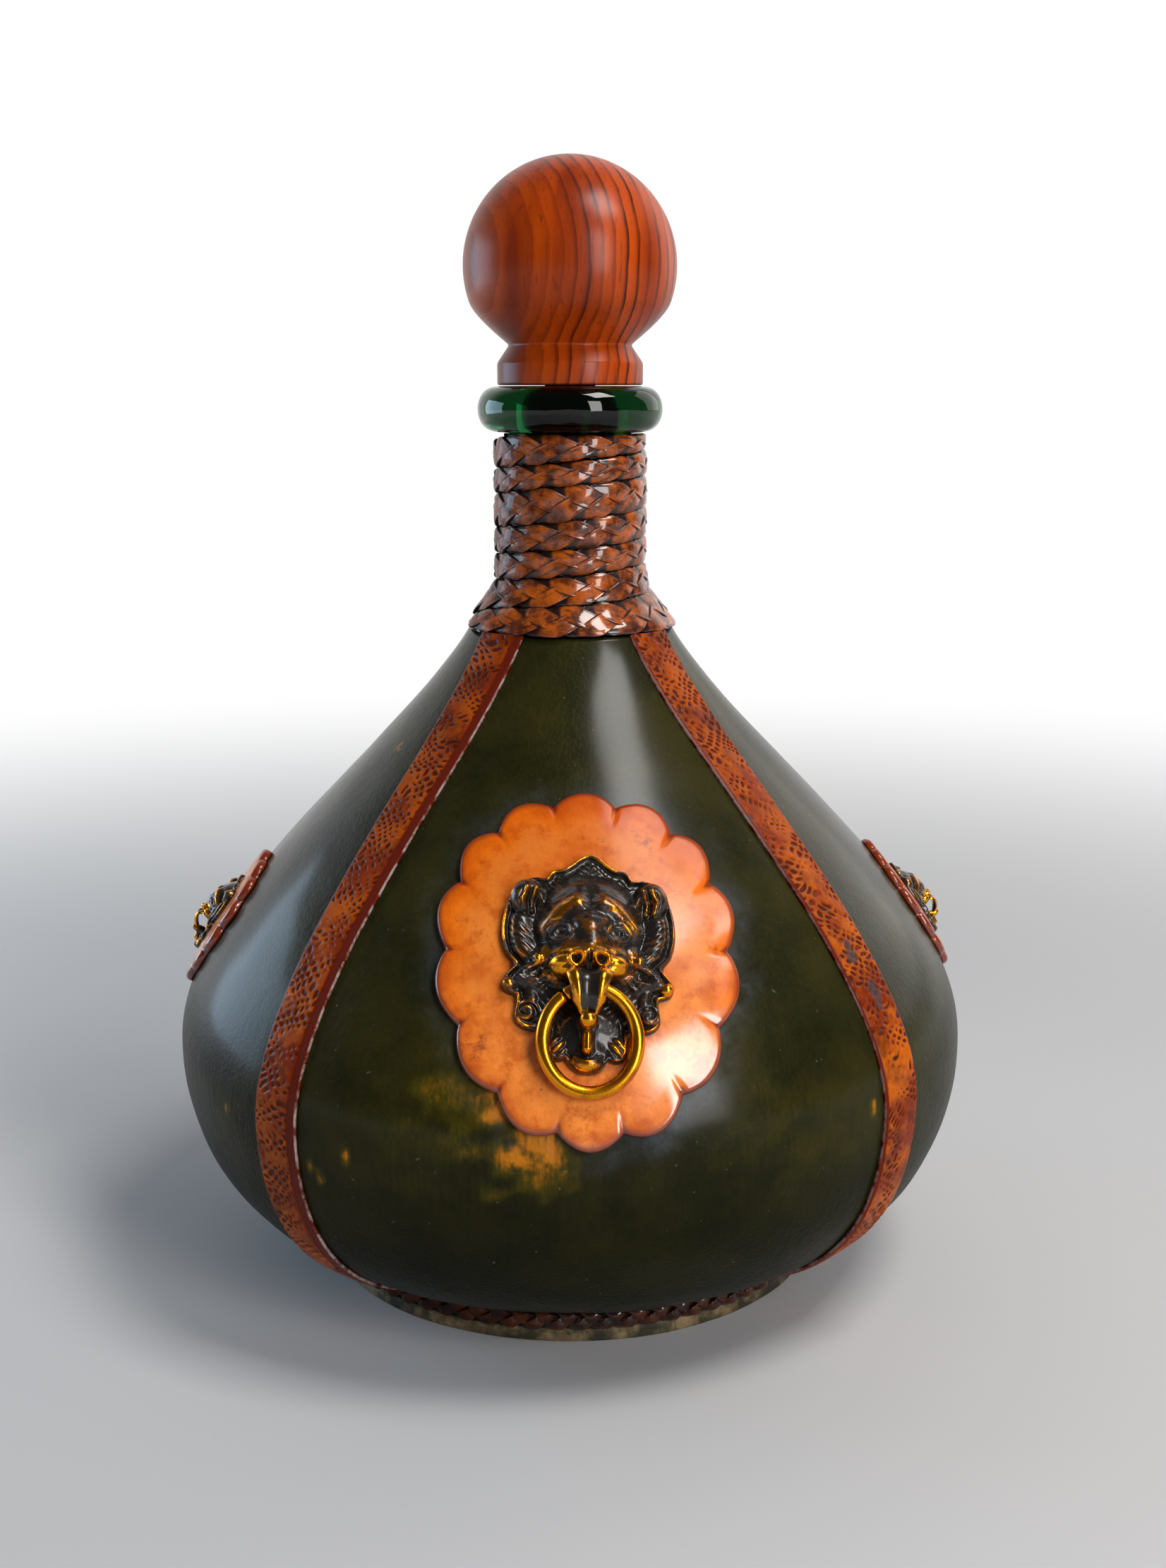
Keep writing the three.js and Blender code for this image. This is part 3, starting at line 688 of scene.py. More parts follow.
@dataclass(frozen=True)
class BraidLeather(Finish):
    """Brown laces, creased and rubbed to orange-brown, with painted shade, near black, in the crevices of the
    plait and in the creases.

    Their varnish is worn thin on the left, where a hand holds the neck.
    """

    slot: str = "braid_leather"
    painted_crevice_shade: Colour = (0.010, 0.0035, 0.0028)
    brown: Colour = (0.060, 0.0105, 0.0026)
    rubbed: Colour = (0.40, 0.080, 0.0030)

    def paint(self, graph: Graph) -> None:
        """Brown that lightens with the lace's height in the plait, from painted shade in the crevices to
        rubbed orange on top, with creases along the lace that are darkened as painted shade.

        Args:
            graph: Of the material, still empty.
        """
        raised = graph.value("raised")
        mottle = graph.noise(0.005, 5, 0.68)
        fine = graph.noise(0.0007, 3)
        lengthwise = {"X": graph.value("lace_along") * 0.2, "Y": graph.value("lace_across")}
        creases = graph.noise(0.0013, 4, 0.6, graph.node("ShaderNodeCombineXYZ", {}, lengthwise))
        # Painted shade in the crevices, where a lace lies low or passes under another.
        colour = graph.mix(raised.step(0.0, 0.5), self.painted_crevice_shade, self.brown)
        colour = graph.mix(raised.step(0.2, 0.8) * mottle.step(0.36, 0.62) * 0.9, colour, self.rubbed)
        # Painted shade in the creases along the lace.
        colour = graph.mix(creases.step(0.47, 0.33) * 0.75, colour, self.painted_crevice_shade)
        graph.surface({
            "Base Color": colour,
            "Roughness": 0.3 + fine * 0.16,
            "Specular IOR Level": 0.12,
            "Coat Weight": 0.15 + graph.axis("X").step(-0.026, -0.002) * 0.7,
            "Coat Roughness": 0.1,
            "Coat IOR": 1.5,
            "Normal": graph.bump(fine * 0.2 + graph.noise(0.0026, 3) * 1.0 + creases * 1.1, 0.36 * MM),
        })


@dataclass(frozen=True)
class FootBraidLeather(BraidLeather):
    """The same laces where they lie in the body's shade, painted darker for that shade."""

    # Painted shade: both colours are darker, for the shade under the belly.
    brown: Colour = (0.014, 0.0040, 0.0022)
    rubbed: Colour = (0.085, 0.018, 0.0025)


@dataclass(frozen=True)
class SoleLeather(Finish):
    """Worn ochre-green leather: dark in its pores, rubbed pale along the edge, with the pale ochre brightened
    as painted light.
    """

    slot: str = "sole_leather"
    dark: Colour = (0.028, 0.026, 0.012)
    # Painted light: the ochre is lighter than the worn leather's own, for the light that reaches the sole in
    # the belly's shadow.
    ochre: Colour = (0.33, 0.23, 0.11)

    def paint(self, graph: Graph) -> None:
        """Dark green that is rubbed to ochre in patches.

        Args:
            graph: Of the material, still empty.
        """
        rub = graph.noise(0.012, 6, 0.7).step(0.4, 0.66)
        fine = graph.noise(0.0012, 4, 0.65)
        colour = graph.mix(rub * (0.4 + fine), self.dark, self.ochre)
        graph.surface({
            "Base Color": colour,
            "Roughness": 0.42 + fine * 0.3,
            "Specular IOR Level": 0.4,
            "Normal": graph.bump(fine + rub * 0.3, 0.3 * MM),
        })


@dataclass(frozen=True)
class AgedBrass(Finish):
    """Cast brass with a glossy black patina that is polished away on the high spots."""

    slot: str = "aged_brass"
    patina: Colour = (0.014, 0.011, 0.0085)
    bronze: Colour = (0.23, 0.068, 0.0050)
    gold: Colour = (0.78, 0.31, 0.010)

    def paint(self, graph: Graph) -> None:
        """Patina, bronze and gold in turn as the mesh's polish value rises, broken by two sizes of noise.

        Args:
            graph: Of the material, still empty.
        """
        fine = graph.noise(0.0010, 4, 0.65)
        broken = (fine - 0.5) * 0.75 + (graph.noise(0.0036, 4, 0.6) - 0.5) * 0.9
        polish = graph.value("polish") + broken
        bare = polish.step(0.36, 0.62)
        colour = graph.mix(polish.step(0.16, 0.46), self.patina, self.bronze)
        colour = graph.mix(bare, colour, self.gold)
        graph.surface({
            "Base Color": colour,
            "Metallic": 0.2 + polish.step(0.2, 0.5) * 0.8,
            "Roughness": 0.28 - bare * 0.06 + (fine - 0.5) * 0.15,
            "Specular IOR Level": 0.3,
            "Coat Weight": 0.4 - bare * 0.3,
            "Coat Roughness": 0.1,
            "Normal": graph.bump(fine, 0.07 * MM),
        })


@dataclass(frozen=True)
class RingBrass(Finish):
    """Polished brass wire, clouded with brown tarnish."""

    slot: str = "ring_brass"
    gold: Colour = (0.80, 0.31, 0.006)
    brown: Colour = (0.26, 0.070, 0.0025)

    def paint(self, graph: Graph) -> None:
        """Gold that turns brown and duller in the clouds of tarnish.

        Args:
            graph: Of the material, still empty.
        """
        fine = graph.noise(0.0012, 4, 0.6)
        tarnish = graph.noise(0.007, 5, 0.65).step(0.45, 0.72)
        graph.surface({
            "Base Color": graph.mix(tarnish * 0.75, self.gold, self.brown),
            "Metallic": 1.0,
            "Roughness": 0.18 + fine * 0.1 + tarnish * 0.1,
            "Coat Weight": 0.15,
            "Coat Roughness": 0.08,
            "Normal": graph.bump(fine, 0.02 * MM),
        })


@dataclass(frozen=True)
class TurnedWood(Finish):
    """Red-brown hardwood with upright dark grain lines, under a satin varnish."""

    slot: str = "turned_wood"
    light: Colour = (0.43, 0.056, 0.0014)
    warm: Colour = (0.19, 0.019, 0.0010)
    line: Colour = (0.026, 0.0036, 0.0010)
    spacing: float = 0.0037
    bow: float = 3.2
    bow_height: float = 0.290

    def paint(self, graph: Graph) -> None:
        """Growth sheets across x, bowed along z, each of which darkens towards a thin line.

        The lines are fainter on the left.

        Args:
            graph: Of the material, still empty.
        """
        height = graph.axis("Z") - self.bow_height
        sheet = graph.axis("X") + graph.axis("Y") * 0.25 + height * height * self.bow
        few = sheet.step(-0.014, 0.0)
        sheet = sheet + (graph.noise(0.030, 2) - 0.5) * 0.003
        sheet = sheet + (graph.noise(0.006, 3, 0.6, graph.stretched((1, 1, 0.3))) - 0.5) * 0.0014
        ring = (sheet * (1 / self.spacing)).fraction()
        lines = ring.step(0.58, 0.92) * ring.step(1.0, 0.95)
        strong = graph.noise(0.008, 2, 0.5, graph.stretched((1, 0.4, 0.05))).step(0.36, 0.58)
        broad = graph.noise(0.015, 3, 0.5, graph.stretched((1, 0.4, 0.12)))
        pores = graph.noise(0.0009, 3, 0.6, graph.stretched((1, 0.7, 0.045)))
        colour = graph.mix(broad.step(0.34, 0.64), self.warm, self.light)
        colour = graph.mix(ring.step(0.1, 1.0) * 0.4, colour, self.warm)
        colour = graph.mix(lines * (0.25 + strong * 0.7) * (0.12 + few * 0.88), colour, self.line)
        colour = graph.mix(pores.step(0.55, 0.72) * 0.4, colour, self.line)
        turning = graph.noise(0.0011, 2, 0.5, graph.stretched((0.06, 0.06, 1)))
        graph.surface({
            "Base Color": colour,
            "Roughness": 0.35 + pores * 0.14,
            "Specular IOR Level": 0.05,
            "Coat Weight": 0.42,
            "Coat Roughness": 0.27,
            "Coat IOR": 1.4,
            "Normal": graph.bump(pores * -0.8 + turning * 0.5, 0.06 * MM),
        })


@dataclass(frozen=True)
class PlugCork(Finish):
    """Dark stained cork with pits."""

    slot: str = "cork"
    bark: Colour = (0.16, 0.075, 0.028)
    pit: Colour = (0.030, 0.012, 0.006)

    def paint(self, graph: Graph) -> None:
        """Bark with darker pits and clouds.

        Args:
            graph: Of the material, still empty.
        """
        pits = graph.noise(0.0025, 5, 0.7).step(0.52, 0.66)
        cloud = graph.noise(0.009, 4)
        colour = graph.mix(pits * 0.8 + cloud * 0.2, self.bark, self.pit)
        graph.surface({
            "Base Color": colour,
            "Roughness": 0.7 + cloud * 0.2,
            "Normal": graph.bump(pits * -1.0 + cloud * 0.4, 0.4 * MM),
        })


@dataclass(frozen=True)
class BottleGlass(Finish):
    """Dark bottle-green glass with a few gold scuffs."""

    slot: str = "green_glass"
    green: Colour = (0.0012, 0.026, 0.0050)
    gold: Colour = (0.30, 0.14, 0.02)

    def paint(self, graph: Graph) -> None:
        """Clear green glass, faintly uneven, scuffed with gold in small spots.

        Args:
            graph: Of the material, still empty.
        """
        scuffs = graph.noise(0.006, 6, 0.7).step(0.69, 0.74)
        graph.surface({
            "Base Color": graph.mix(scuffs * 0.6, self.green, self.gold),
            "Roughness": 0.03 + scuffs * 0.3,
            "Transmission Weight": 1.0,
            "IOR": 1.36,
            "Normal": graph.bump(graph.noise(0.012, 2), 0.3 * MM),
        })


# Body of revolution that the leather covers

@dataclass
class BodySkin:
    """Outer face of the leather, a surface of revolution.

    Its meridian is two cubic curves, from the heel to the belly and from there to the shoulder, measured by
    the distance along it from the heel.
    """

    heel: Point = (0.0735, 0.0102)
    heel_slope: Point = (0.0288, 0.0087)
    belly: Point = (0.116, 0.0695)
    belly_drop: float = 0.028
    belly_rise: float = 0.0395
    shoulder: Point = (0.0294, 0.1885)
    shoulder_slope: Point = (0.0173, -0.0311)
    samples: int = 1200
    points: Array = field(init=False)
    normals: Array = field(init=False)
    distances: Array = field(init=False)

    def __post_init__(self) -> None:
        """Works out the meridian's points, normals and distances."""
        heel, belly, shoulder = (np.array(spot) for spot in (self.heel, self.belly, self.shoulder))
        drop, rise = np.array([0, self.belly_drop]), np.array([0, self.belly_rise])
        lower = (heel, heel + np.array(self.heel_slope), belly - drop, belly)
        upper = (belly, belly + rise, shoulder + np.array(self.shoulder_slope), shoulder)
        share = np.linspace(0, 1, self.samples)
        self.points = np.vstack([cubic(lower, share), cubic(upper, share)[1:]])
        self.distances = running_sum(np.linalg.norm(np.diff(self.points, axis=0), axis=1))
        along = unit(np.gradient(self.points, self.distances, axis=0))
        self.normals = np.stack([along[:, 1], -along[:, 0]], axis=-1)

    @property
    def length(self) -> float:
        """Length of the meridian."""
        return float(self.distances[-1])

    def radius(self, distance: Array) -> Array:
        """Radius at a distance from the heel."""
        return np.interp(distance, self.distances, self.points[:, 0])

    def lifted(self, distance: Union[Array, float], lift: Union[Array, float]) -> Array:
        """Points (radius, height) of the meridian, moved out along its normal.

        Args:
            distance: Distances from the heel.
            lift: How far out.

        Returns:
            The points, as (..., 2).
        """
        parts = []
        for axis in range(2):
            place = np.interp(distance, self.distances, self.points[:, axis])
            parts.append(place + lift * np.interp(distance, self.distances, self.normals[:, axis]))
        return np.stack(np.broadcast_arrays(*parts), axis=-1)

    def point(self, distance: Array, angle: Array, lift: Union[Array, float]) -> Array:
        """Points on the skin at a distance and an angle, moved out by a lift."""
        spot = self.lifted(distance, lift)
        return around_axis(spot[..., 0], angle, spot[..., 1])

    def distance_at(self, height: float) -> float:
        """Distance from the heel at which the meridian reaches a height."""
        return float(np.interp(height, self.points[:, 1], self.distances))


@dataclass(frozen=True)
class Place:
    """A spot on the leather that an ornament is fixed to, shifted to the right and leaning to the right."""

    skin: BodySkin
    angle: float
    height: float
    shift: float = 0.0
    lean: float = 0.0

    def point(self, u: Array, v: Array, n: Union[Array, float]) -> Array:
        """Points at u to the right and v up along the leather, and n out of it.

        Args:
            u: Places to the right.
            v: Places up.
            n: Heights over the leather.

        Returns:
            Points of the object.
        """
        right = u * math.cos(self.lean) + v * math.sin(self.lean) + self.shift
        distance = self.skin.distance_at(self.height) + v * math.cos(self.lean) - u * math.sin(self.lean)
        return self.skin.point(distance, self.angle + right / self.skin.radius(distance), n)

    def local(self, distance: Array, angle: Array) -> tuple[Array, Array]:
        """The (u, v) of places on the skin.

        Args:
            distance: Distances from the heel.
            angle: Angles round the axis.

        Returns:
            Places to the right and up.
        """
        right = (angle - self.angle) * self.skin.radius(distance) - self.shift
        up = distance - self.skin.distance_at(self.height)
        return (
            right * math.cos(self.lean) - up * math.sin(self.lean),
            right * math.sin(self.lean) + up * math.cos(self.lean),
        )


class Side(Enum):
    """The four quarters of the body, with the angle of each one's middle."""

    FRONT = 0.0
    RIGHT = 0.25 * FULL_TURN
    BACK = 0.5 * FULL_TURN
    LEFT = -0.25 * FULL_TURN


# Ornaments

@dataclass
class Medallion:
    """A scalloped oval of leather: its edge is a row of round lobes with a crease between each two."""

    place: Place
    node: str
    width: float = 0.080
    height: float = 0.096
    notch: float = 0.0032
    thickness: float = 0.0018
    lobes: int = 14
    lobe_steps: int = 28
    rings: int = 64
    edge_round: float = 0.0017
    ring_crowding: float = 1.7  # power that brings the rings closer together towards the rim
    crease_width: float = 0.2  # in the lobe's |cos|
    crease_reach: float = 0.0075
    crease_depth: float = 0.00055
    # Painted shade: how much the inside value falls in the creases, which darkens them.
    crease_painted_shade: float = 250.0  # per metre of depth
    puff: float = 0.0003
    swell: float = 0.12 * MM
    swell_length: float = 0.02
    swell_inset: float = 0.004
    inside_reach: float = 0.012

    def outline(self, angle: Array) -> tuple[Array, Array]:
        """The edge at an angle from the top: an oval drawn in by a notch of 1 - |cos| between the lobes."""
        drawn_in = self.notch * (1 - np.abs(np.cos(self.lobes * angle / 2)))
        return (self.width / 2 - drawn_in) * np.sin(angle), (self.height / 2 - drawn_in) * np.cos(angle)

    def outside(self, u: Array, v: Array) -> Array:
        """How far a place lies outside the edge, negative inside it, measured towards the centre.

        Args:
            u: Places to the right.
            v: Places up.

        Returns:
            The distance.
        """
        angle = np.arctan2(u * self.height, v * self.width)
        reach = np.hypot(*self.outline(angle))
        return np.hypot(u, v) - reach

    def build(self) -> None:
        """A top that rolls over at the rim, puffed in each lobe and creased between them, and a flat back."""
        angle = full_circle(self.lobes * self.lobe_steps)
        edge_u, edge_v = self.outline(angle)
        share = 1 - (1 - np.linspace(0, 1, self.rings)[:, None]) ** self.ring_crowding
        u, v = share * edge_u, share * edge_v
        inner = (1 - share) * np.hypot(edge_u, edge_v)
        rolled = self.edge_round - np.minimum(inner, self.edge_round)
        roll = self.edge_round - np.sqrt(self.edge_round**2 - rolled**2)
        lobe = np.abs(np.cos(self.lobes * angle / 2))
        fade = smoothstep(self.crease_reach, 0, inner)
        crease = hump(lobe / self.crease_width) * fade * self.crease_depth
        puff = smoothstep(0.1, 0.9, lobe) * fade * self.puff
        swell = unevenness(self.place.point(u, v, 0.0), self.swell_length, seed=5) * self.swell
        swell = swell * smoothstep(0, self.swell_inset, inner)
        top = self.place.point(u, v, GAP + self.thickness - roll - crease + puff + swell)
        back = self.place.point(u[::-3], v[::-3], BED)
        # The creases lower the inside value, which paints shade into them.
        inside = np.clip(inner / self.inside_reach - crease * self.crease_painted_shade, 0, 1)
        fields = {"inside": np.concatenate([inside, np.zeros(back.shape[:2])])}
        patch = Patch(np.concatenate([top, back]), fields=fields)
        add_piece(f"{self.node}_leather", self.node, [patch], MedallionLeather())


@dataclass
class SideMedallion(Medallion):
    """The medallion of a side, about half the size of the front one."""

    width: float = 0.038
    height: float = 0.046
    notch: float = 0.0015
    lobe_steps: int = 16
    rings: int = 40
    crease_reach: float = 0.004


@dataclass
class LionMask:
    """A cast lion's face with its mane, ears, scrolled locks and beard, and a tongue that bridges a ring.

    It is drawn in millimetres of the large mask, u to the right, v up and heights over its back, and scaled.
    The bright spots have a middle, half sizes and a strength, and the right half stands for both.
    """

    place: Place
    node: str
    seat: float = 0.0021
    scale: float = MM
    spokes: int = 480
    rings: int = 132
    outline: Sequence[Point] = (
        (0, 28.2), (2.0, 27.5), (4.2, 25.7), (6.4, 24.0), (9.3, 23.1), (10.8, 21.0), (14.0, 20.7),
        (17.5, 18.6), (20.4, 13.7), (21.6, 8.6), (21.8, 4.4), (20.8, -0.2), (18.9, -4.7), (20.8, -7.1),
        (21.2, -9.3), (19.5, -11.4), (17.8, -11.8), (17.6, -14.5), (17.9, -16.8), (16.2, -19.4),
        (13.5, -20.0), (11.5, -19.8), (9.8, -22.5), (9.6, -25.0), (8.5, -26.6), (6.5, -27.0),
        (5.2, -26.7), (4.5, -27.8), (2.5, -29.4), (0, -29.8),
    )
    rim_round: float = 0.9
    brow: Sequence[Point] = ((3.6, 11.2), (6.8, 9.2), (10.4, 5.4))
    nostril: Point = (2.75, -3.9)
    curl: Point = (14.7, -15.4)
    polish_circle: float = 0.9
    bright_spots: Sequence[tuple[Point, Point, float]] = (
        ((11.0, -2.2), (2.8, 4.2), 0.34),
        ((0.0, 4.0), (17.0, 19.0), 0.10),
        ((14.6, 13.4), (3.6, 4.4), 0.22),
        ((7.0, -5.4), (6.0, 4.6), 0.46),
        ((2.6, -2.8), (4.8, 3.6), 0.46),
        ((5.6, -1.6), (6.0, 4.6), 0.34),
        ((0.0, -18.5), (3.6, 6.4), 0.50),
        ((0.0, -27.8), (4.8, 2.2), 0.48),
        ((7.4, -23.6), (2.6, 3.0), 0.26),
        ((16.0, -17.4), (3.2, 2.6), 0.26),
        ((19.1, -9.1), (2.6, 2.6), 0.34),
    )
    tongue_path: Sequence[Point] = ((-6.8, 8.6), (-7.8, 12.0), (-12.0, 11.4), (-16.2, 7.3))
    tongue_steps: int = 56
    tongue_sides: int = 64

    def reach(self, angle: Array) -> tuple[Array, Array]:
        """The outline's reach from the centre at an angle from the top, and how squarely it is met there.

        The reach runs through the outline's corners as a cubic Hermite curve of the angle, whose slopes are
        those between each corner's neighbours.

        Args:
            angle: Angles from the top.

        Returns:
            The reach, and the cosine between the line from the centre and the outline's normal.
        """
        corners = np.array(self.outline)
        bend = np.arctan2(corners[:, 0], corners[:, 1])
        far = np.hypot(corners[:, 0], corners[:, 1])
        bend = np.concatenate([-bend[1:3][::-1], bend, FULL_TURN - bend[-3:-1][::-1]])
        far = np.concatenate([far[1:3][::-1], far, far[-3:-1][::-1]])
        slope = np.gradient(far, bend)
        fold = np.abs(np.mod(angle + math.pi, FULL_TURN) - math.pi)
        span = np.clip(np.searchsorted(bend, fold, side="right") - 1, 0, len(bend) - 2)
        wide = bend[span + 1] - bend[span]
        share = (fold - bend[span]) / wide
        rise, fall = share * share * (3 - 2 * share), share * (1 - share)
        reach = far[span] * (1 - rise) + far[span + 1] * rise
        reach = reach + fall * wide * (slope[span] * (1 - share) - slope[span + 1] * share)
        steep = slope[span] * (1 - share) + slope[span + 1] * share
        return reach, reach / np.hypot(reach, steep)

    def relief(self, u: Array, v: Array) -> Array:
        """Height over the back. Domes are joined by smooth maxima, and ridges and pits are added as humps.

        Args:
            u: Places to the right.
            v: Places up.

        Returns:
            The height.
        """
        side = np.abs(u)
        reach, square = self.reach(np.arctan2(u, v))
        edge = np.maximum((reach - np.hypot(u, v)) * square, 0)
        height = self.mane(side, v, edge)
        height = self.head(height, side, v)
        height = self.muzzle(height, side, v)
        height = self.beard(height, side, v)
        height = self.scrolls(height, side, v)
        rim = np.sqrt(np.clip(1 - (1 - np.minimum(edge, self.rim_round) / self.rim_round) ** 2, 0, 1))
        return height * (0.3 + 0.7 * rim)

    def mane(self, side: Array, v: Array, edge: Array) -> Array:
        """The flange with a bead along its edge, short slanting hairs inside it, and the hollow ears.

        Args:
            side: Places to the side, on either half.
            v: Places up.
            edge: Distances in from the outline.

        Returns:
            The height.
        """
        bead, groove = 1.15 * hump((edge - 0.95) / 0.95), 0.6 * hump((edge - 2.5) / 1.1)
        height = 1.1 + bead - groove
        far = np.hypot(side, v + 1)
        sway = unevenness(points_of(side, v), 6.0, seed=17)
        hairs = np.abs(np.cos(1.7 * (v - 0.8 * side) + 1.6 * sway)) ** 0.7
        below_ear = smoothstep(-12, -7, v) * smoothstep(12, 8, v)
        spread = smoothstep(9.5, 13, far) * smoothstep(1.6, 2.8, edge)
        height = height + spread * below_ear * (0.9 + 1.6 * hump((edge - 5) / 4))
        height = height + spread * hairs * (0.24 + 0.16 * sway)
        ear = 5.2 * dome(oval(side, v, (15.3, 14.5), (4.8, 5.4)))
        hollow = 4.0 * hump(oval(side, v, (14.2, 12.7), (3.2, 4.2)))
        height = smooth_max(height, ear, 0.6) - hollow
        for lock in ([(12.6, 16.0), (14.2, 13.4), (14.0, 10.6)], [(14.8, 15.8), (16.0, 13.0), (15.6, 10.4)]):
            height = height + 1.5 * hump(stroke(side, v, lock) / 0.9)
        return height

    def head(self, height: Array, side: Array, v: Array) -> Array:
        """The furry skull with slanting brows, eyes in their sockets, cheeks and the ridge of the nose.

        Args:
            height: The height so far.
            side: Places to the side, on either half.
            v: Places up.

        Returns:
            The height with the head.
        """
        skull = 8.8 * dome(oval(side, v, (0, 6.4), (13.6, 15.6)), 0.75)
        fur = 0.16 * unevenness(points_of(side, v), 2.2, seed=23) * hump(oval(side, v, (0, 11), (12, 11)))
        furrow = 0.7 * hump(oval(side, v, (0, 13.5), (2.4, 6.0)))
        brow = 1.5 * hump(stroke(side, v, self.brow) / 3.6)
        socket = 3.2 * hump(oval(side, v, (6.9, 4.0), (4.4, 3.2)))
        eyeball = 2.9 * dome(oval(side, v, (6.9, 3.6), (3.2, 2.6)), 0.8)
        lid = 0.6 * hump(stroke(side, v, [(3.8, 3.2), (5.0, 5.8), (7.4, 6.3), (9.9, 3.9)]))
        sight = np.hypot(side - 6.7, v - 3.5)
        iris, pupil = 0.35 * hump((sight - 1.2) / 0.5), 0.4 * hump(sight / 0.8)
        cheek = 2.2 * hump(oval(side, v, (10.9, -2.0), (2.9, 4.2)))
        ridge = smoothstep(11, 2, v) * hump(side / 6.2) * smoothstep(-6, 0, v)
        height = smooth_max(height, skull, 2.4) + fur - furrow + brow
        return height - socket + eyeball + lid + iris - pupil + cheek + 2.4 * ridge

    def muzzle(self, height: Array, side: Array, v: Array) -> Array:
        """The muzzle with its jowls, the nose, the nostrils as rings round pits, and the upper lip.

        Args:
            height: The height so far.
            side: Places to the side, on either half.
            v: Places up.

        Returns:
            The height with the muzzle.
        """
        muzzle = 8.8 * dome(oval(side, v, (0, -2.4), (11.2, 6.6)), 0.55)
        jowl = 2.3 * hump(oval(side, v, (7.2, -5.2), (5.0, 4.2)))
        nose = 2.2 * hump(oval(side, v, (0, -3.2), (5.8, 3.4)))
        nostril = oval(side, v, self.nostril, (1, 1))
        ring, pit = 1.2 * hump((nostril - 1.6) / 0.9), 1.2 * hump(nostril / 0.95)
        cleft = 0.9 * hump(side / 0.7) * hump(oval(side, v, (0, -4.2), (4, 2.6)))
        lip = 1.5 * hump(stroke(side, v, [(3.6, -6.8), (7.2, -7.6), (10.2, -6.4)]) / 2.0)
        fold = 0.7 * hump(stroke(side, v, [(4.8, -1.6), (8.4, -2.2), (10.6, -4.4)]) / 0.9)
        return smooth_max(height, muzzle, 1.2) + jowl + nose + ring - pit - cleft + lip - fold

    def beard(self, height: Array, side: Array, v: Array) -> Array:
        """The beard with curled tufts, the ball under the tongue, the strip below it and the hollow chin.

        Args:
            height: The height so far.
            side: Places to the side, on either half.
            v: Places up.

        Returns:
            The height with the beard.
        """
        tangle = unevenness(points_of(side, v), 3.0, seed=29)
        beard = 2.8 * dome(oval(side, v, (0, -20.5), (8.2, 8.6))) * (0.9 + 0.05 * tangle)
        height = smooth_max(height, beard, 0.6)
        tuft = 3.2 * dome(oval(side, v, (7.1, -23.5), (2.8, 3.4)))
        tuft = tuft * (0.62 + 0.38 * np.abs(np.cos(1.3 * side + 1.3 * v)))
        height = smooth_max(height, tuft, 0.4)
        ball = 9.8 * dome(np.hypot(side, v + 17.8) / 2.5, 0.2)
        strip = 5.8 * dome(stroke(side, v, [(0, -18.4), (0, -24.0)]) / 1.9)
        height = smooth_max(smooth_max(height, ball, 0.5), strip, 0.3)
        chin = 4.2 * dome(oval(side, v, (0, -26.7), (4.6, 3.3)))
        chin = chin - 2.6 * hump(oval(side, v, (0, -25.2), (3.6, 1.6)))
        return smooth_max(height, chin, 0.4)

    def scrolls(self, height: Array, side: Array, v: Array) -> Array:
        """The locks at the jaw, which end in a small ball and in a fat curl with a spiral groove.

        Under the curl they are flattened, where the ring rests.

        Args:
            height: The height so far.
            side: Places to the side, on either half.
            v: Places up.

        Returns:
            The height with the locks.
        """
        ball = 3.6 * dome(np.hypot(side - 19.1, v + 9.1) / 2.25)
        height = smooth_max(height, ball, 0.3)
        right, up = side - self.curl[0], v - self.curl[1]
        far = np.hypot(right, up)
        wound = np.mod(far / 2.3 - np.arctan2(up, right) / FULL_TURN, 1)
        groove = 1.3 * hump((wound - 0.5) / 0.3) * smoothstep(0.5, 1.4, far)
        curl = 2.9 * dome(far / 3.9, 0.6) - groove
        height = smooth_max(height, curl * smoothstep(4.0, 3.4, far), 0.3)
        for path, wide, rise in (
            ([(12.9, -3.5), (14.4, -8.0), (13.6, -12.2)], 2.0, 2.3),
            ([(16.2, -4.6), (17.0, -7.4), (18.4, -8.8)], 1.1, 2.3),
        ):
            height = smooth_max(height, rise * dome(stroke(side, v, path) / wide), 0.3)
        flattened = 0.6 * hump(oval(side, v, (11.6, -19.4), (3.8, 3.0)))
        return height * (1 - flattened)

    def polish(self, u: Array, v: Array) -> Array:
        """How bright a place is rubbed, from its height over the mean of a small circle round it.

        The spots that hands reach are brighter, and the nostrils stay dark.

        Args:
            u: Places to the right.
            v: Places up.

        Returns:
            The polish, from 0 to 1.
        """
        side = np.abs(u)
        circle = [
            self.relief(u + self.polish_circle * np.sin(angle), v + self.polish_circle * np.cos(angle))
            for angle in full_circle(8)
        ]
        patchy = np.clip(0.62 + 0.7 * unevenness(points_of(u, v), 8.0, seed=41), 0.1, 1)
        rubbed = np.clip((self.relief(u, v) - np.mean(circle, axis=0)) * patchy, -0.25, 0.75)
        rubbed = rubbed + 0.32 * hump(stroke(side, v, self.brow) / 3.2)
        for centre, half, bright in self.bright_spots:
            rubbed = rubbed + bright * hump(oval(side, v, centre, half))
        rubbed = rubbed - hump(oval(side, v, self.nostril, (1.3, 1.3)))
        return np.clip(rubbed + 0.04, 0, 1)

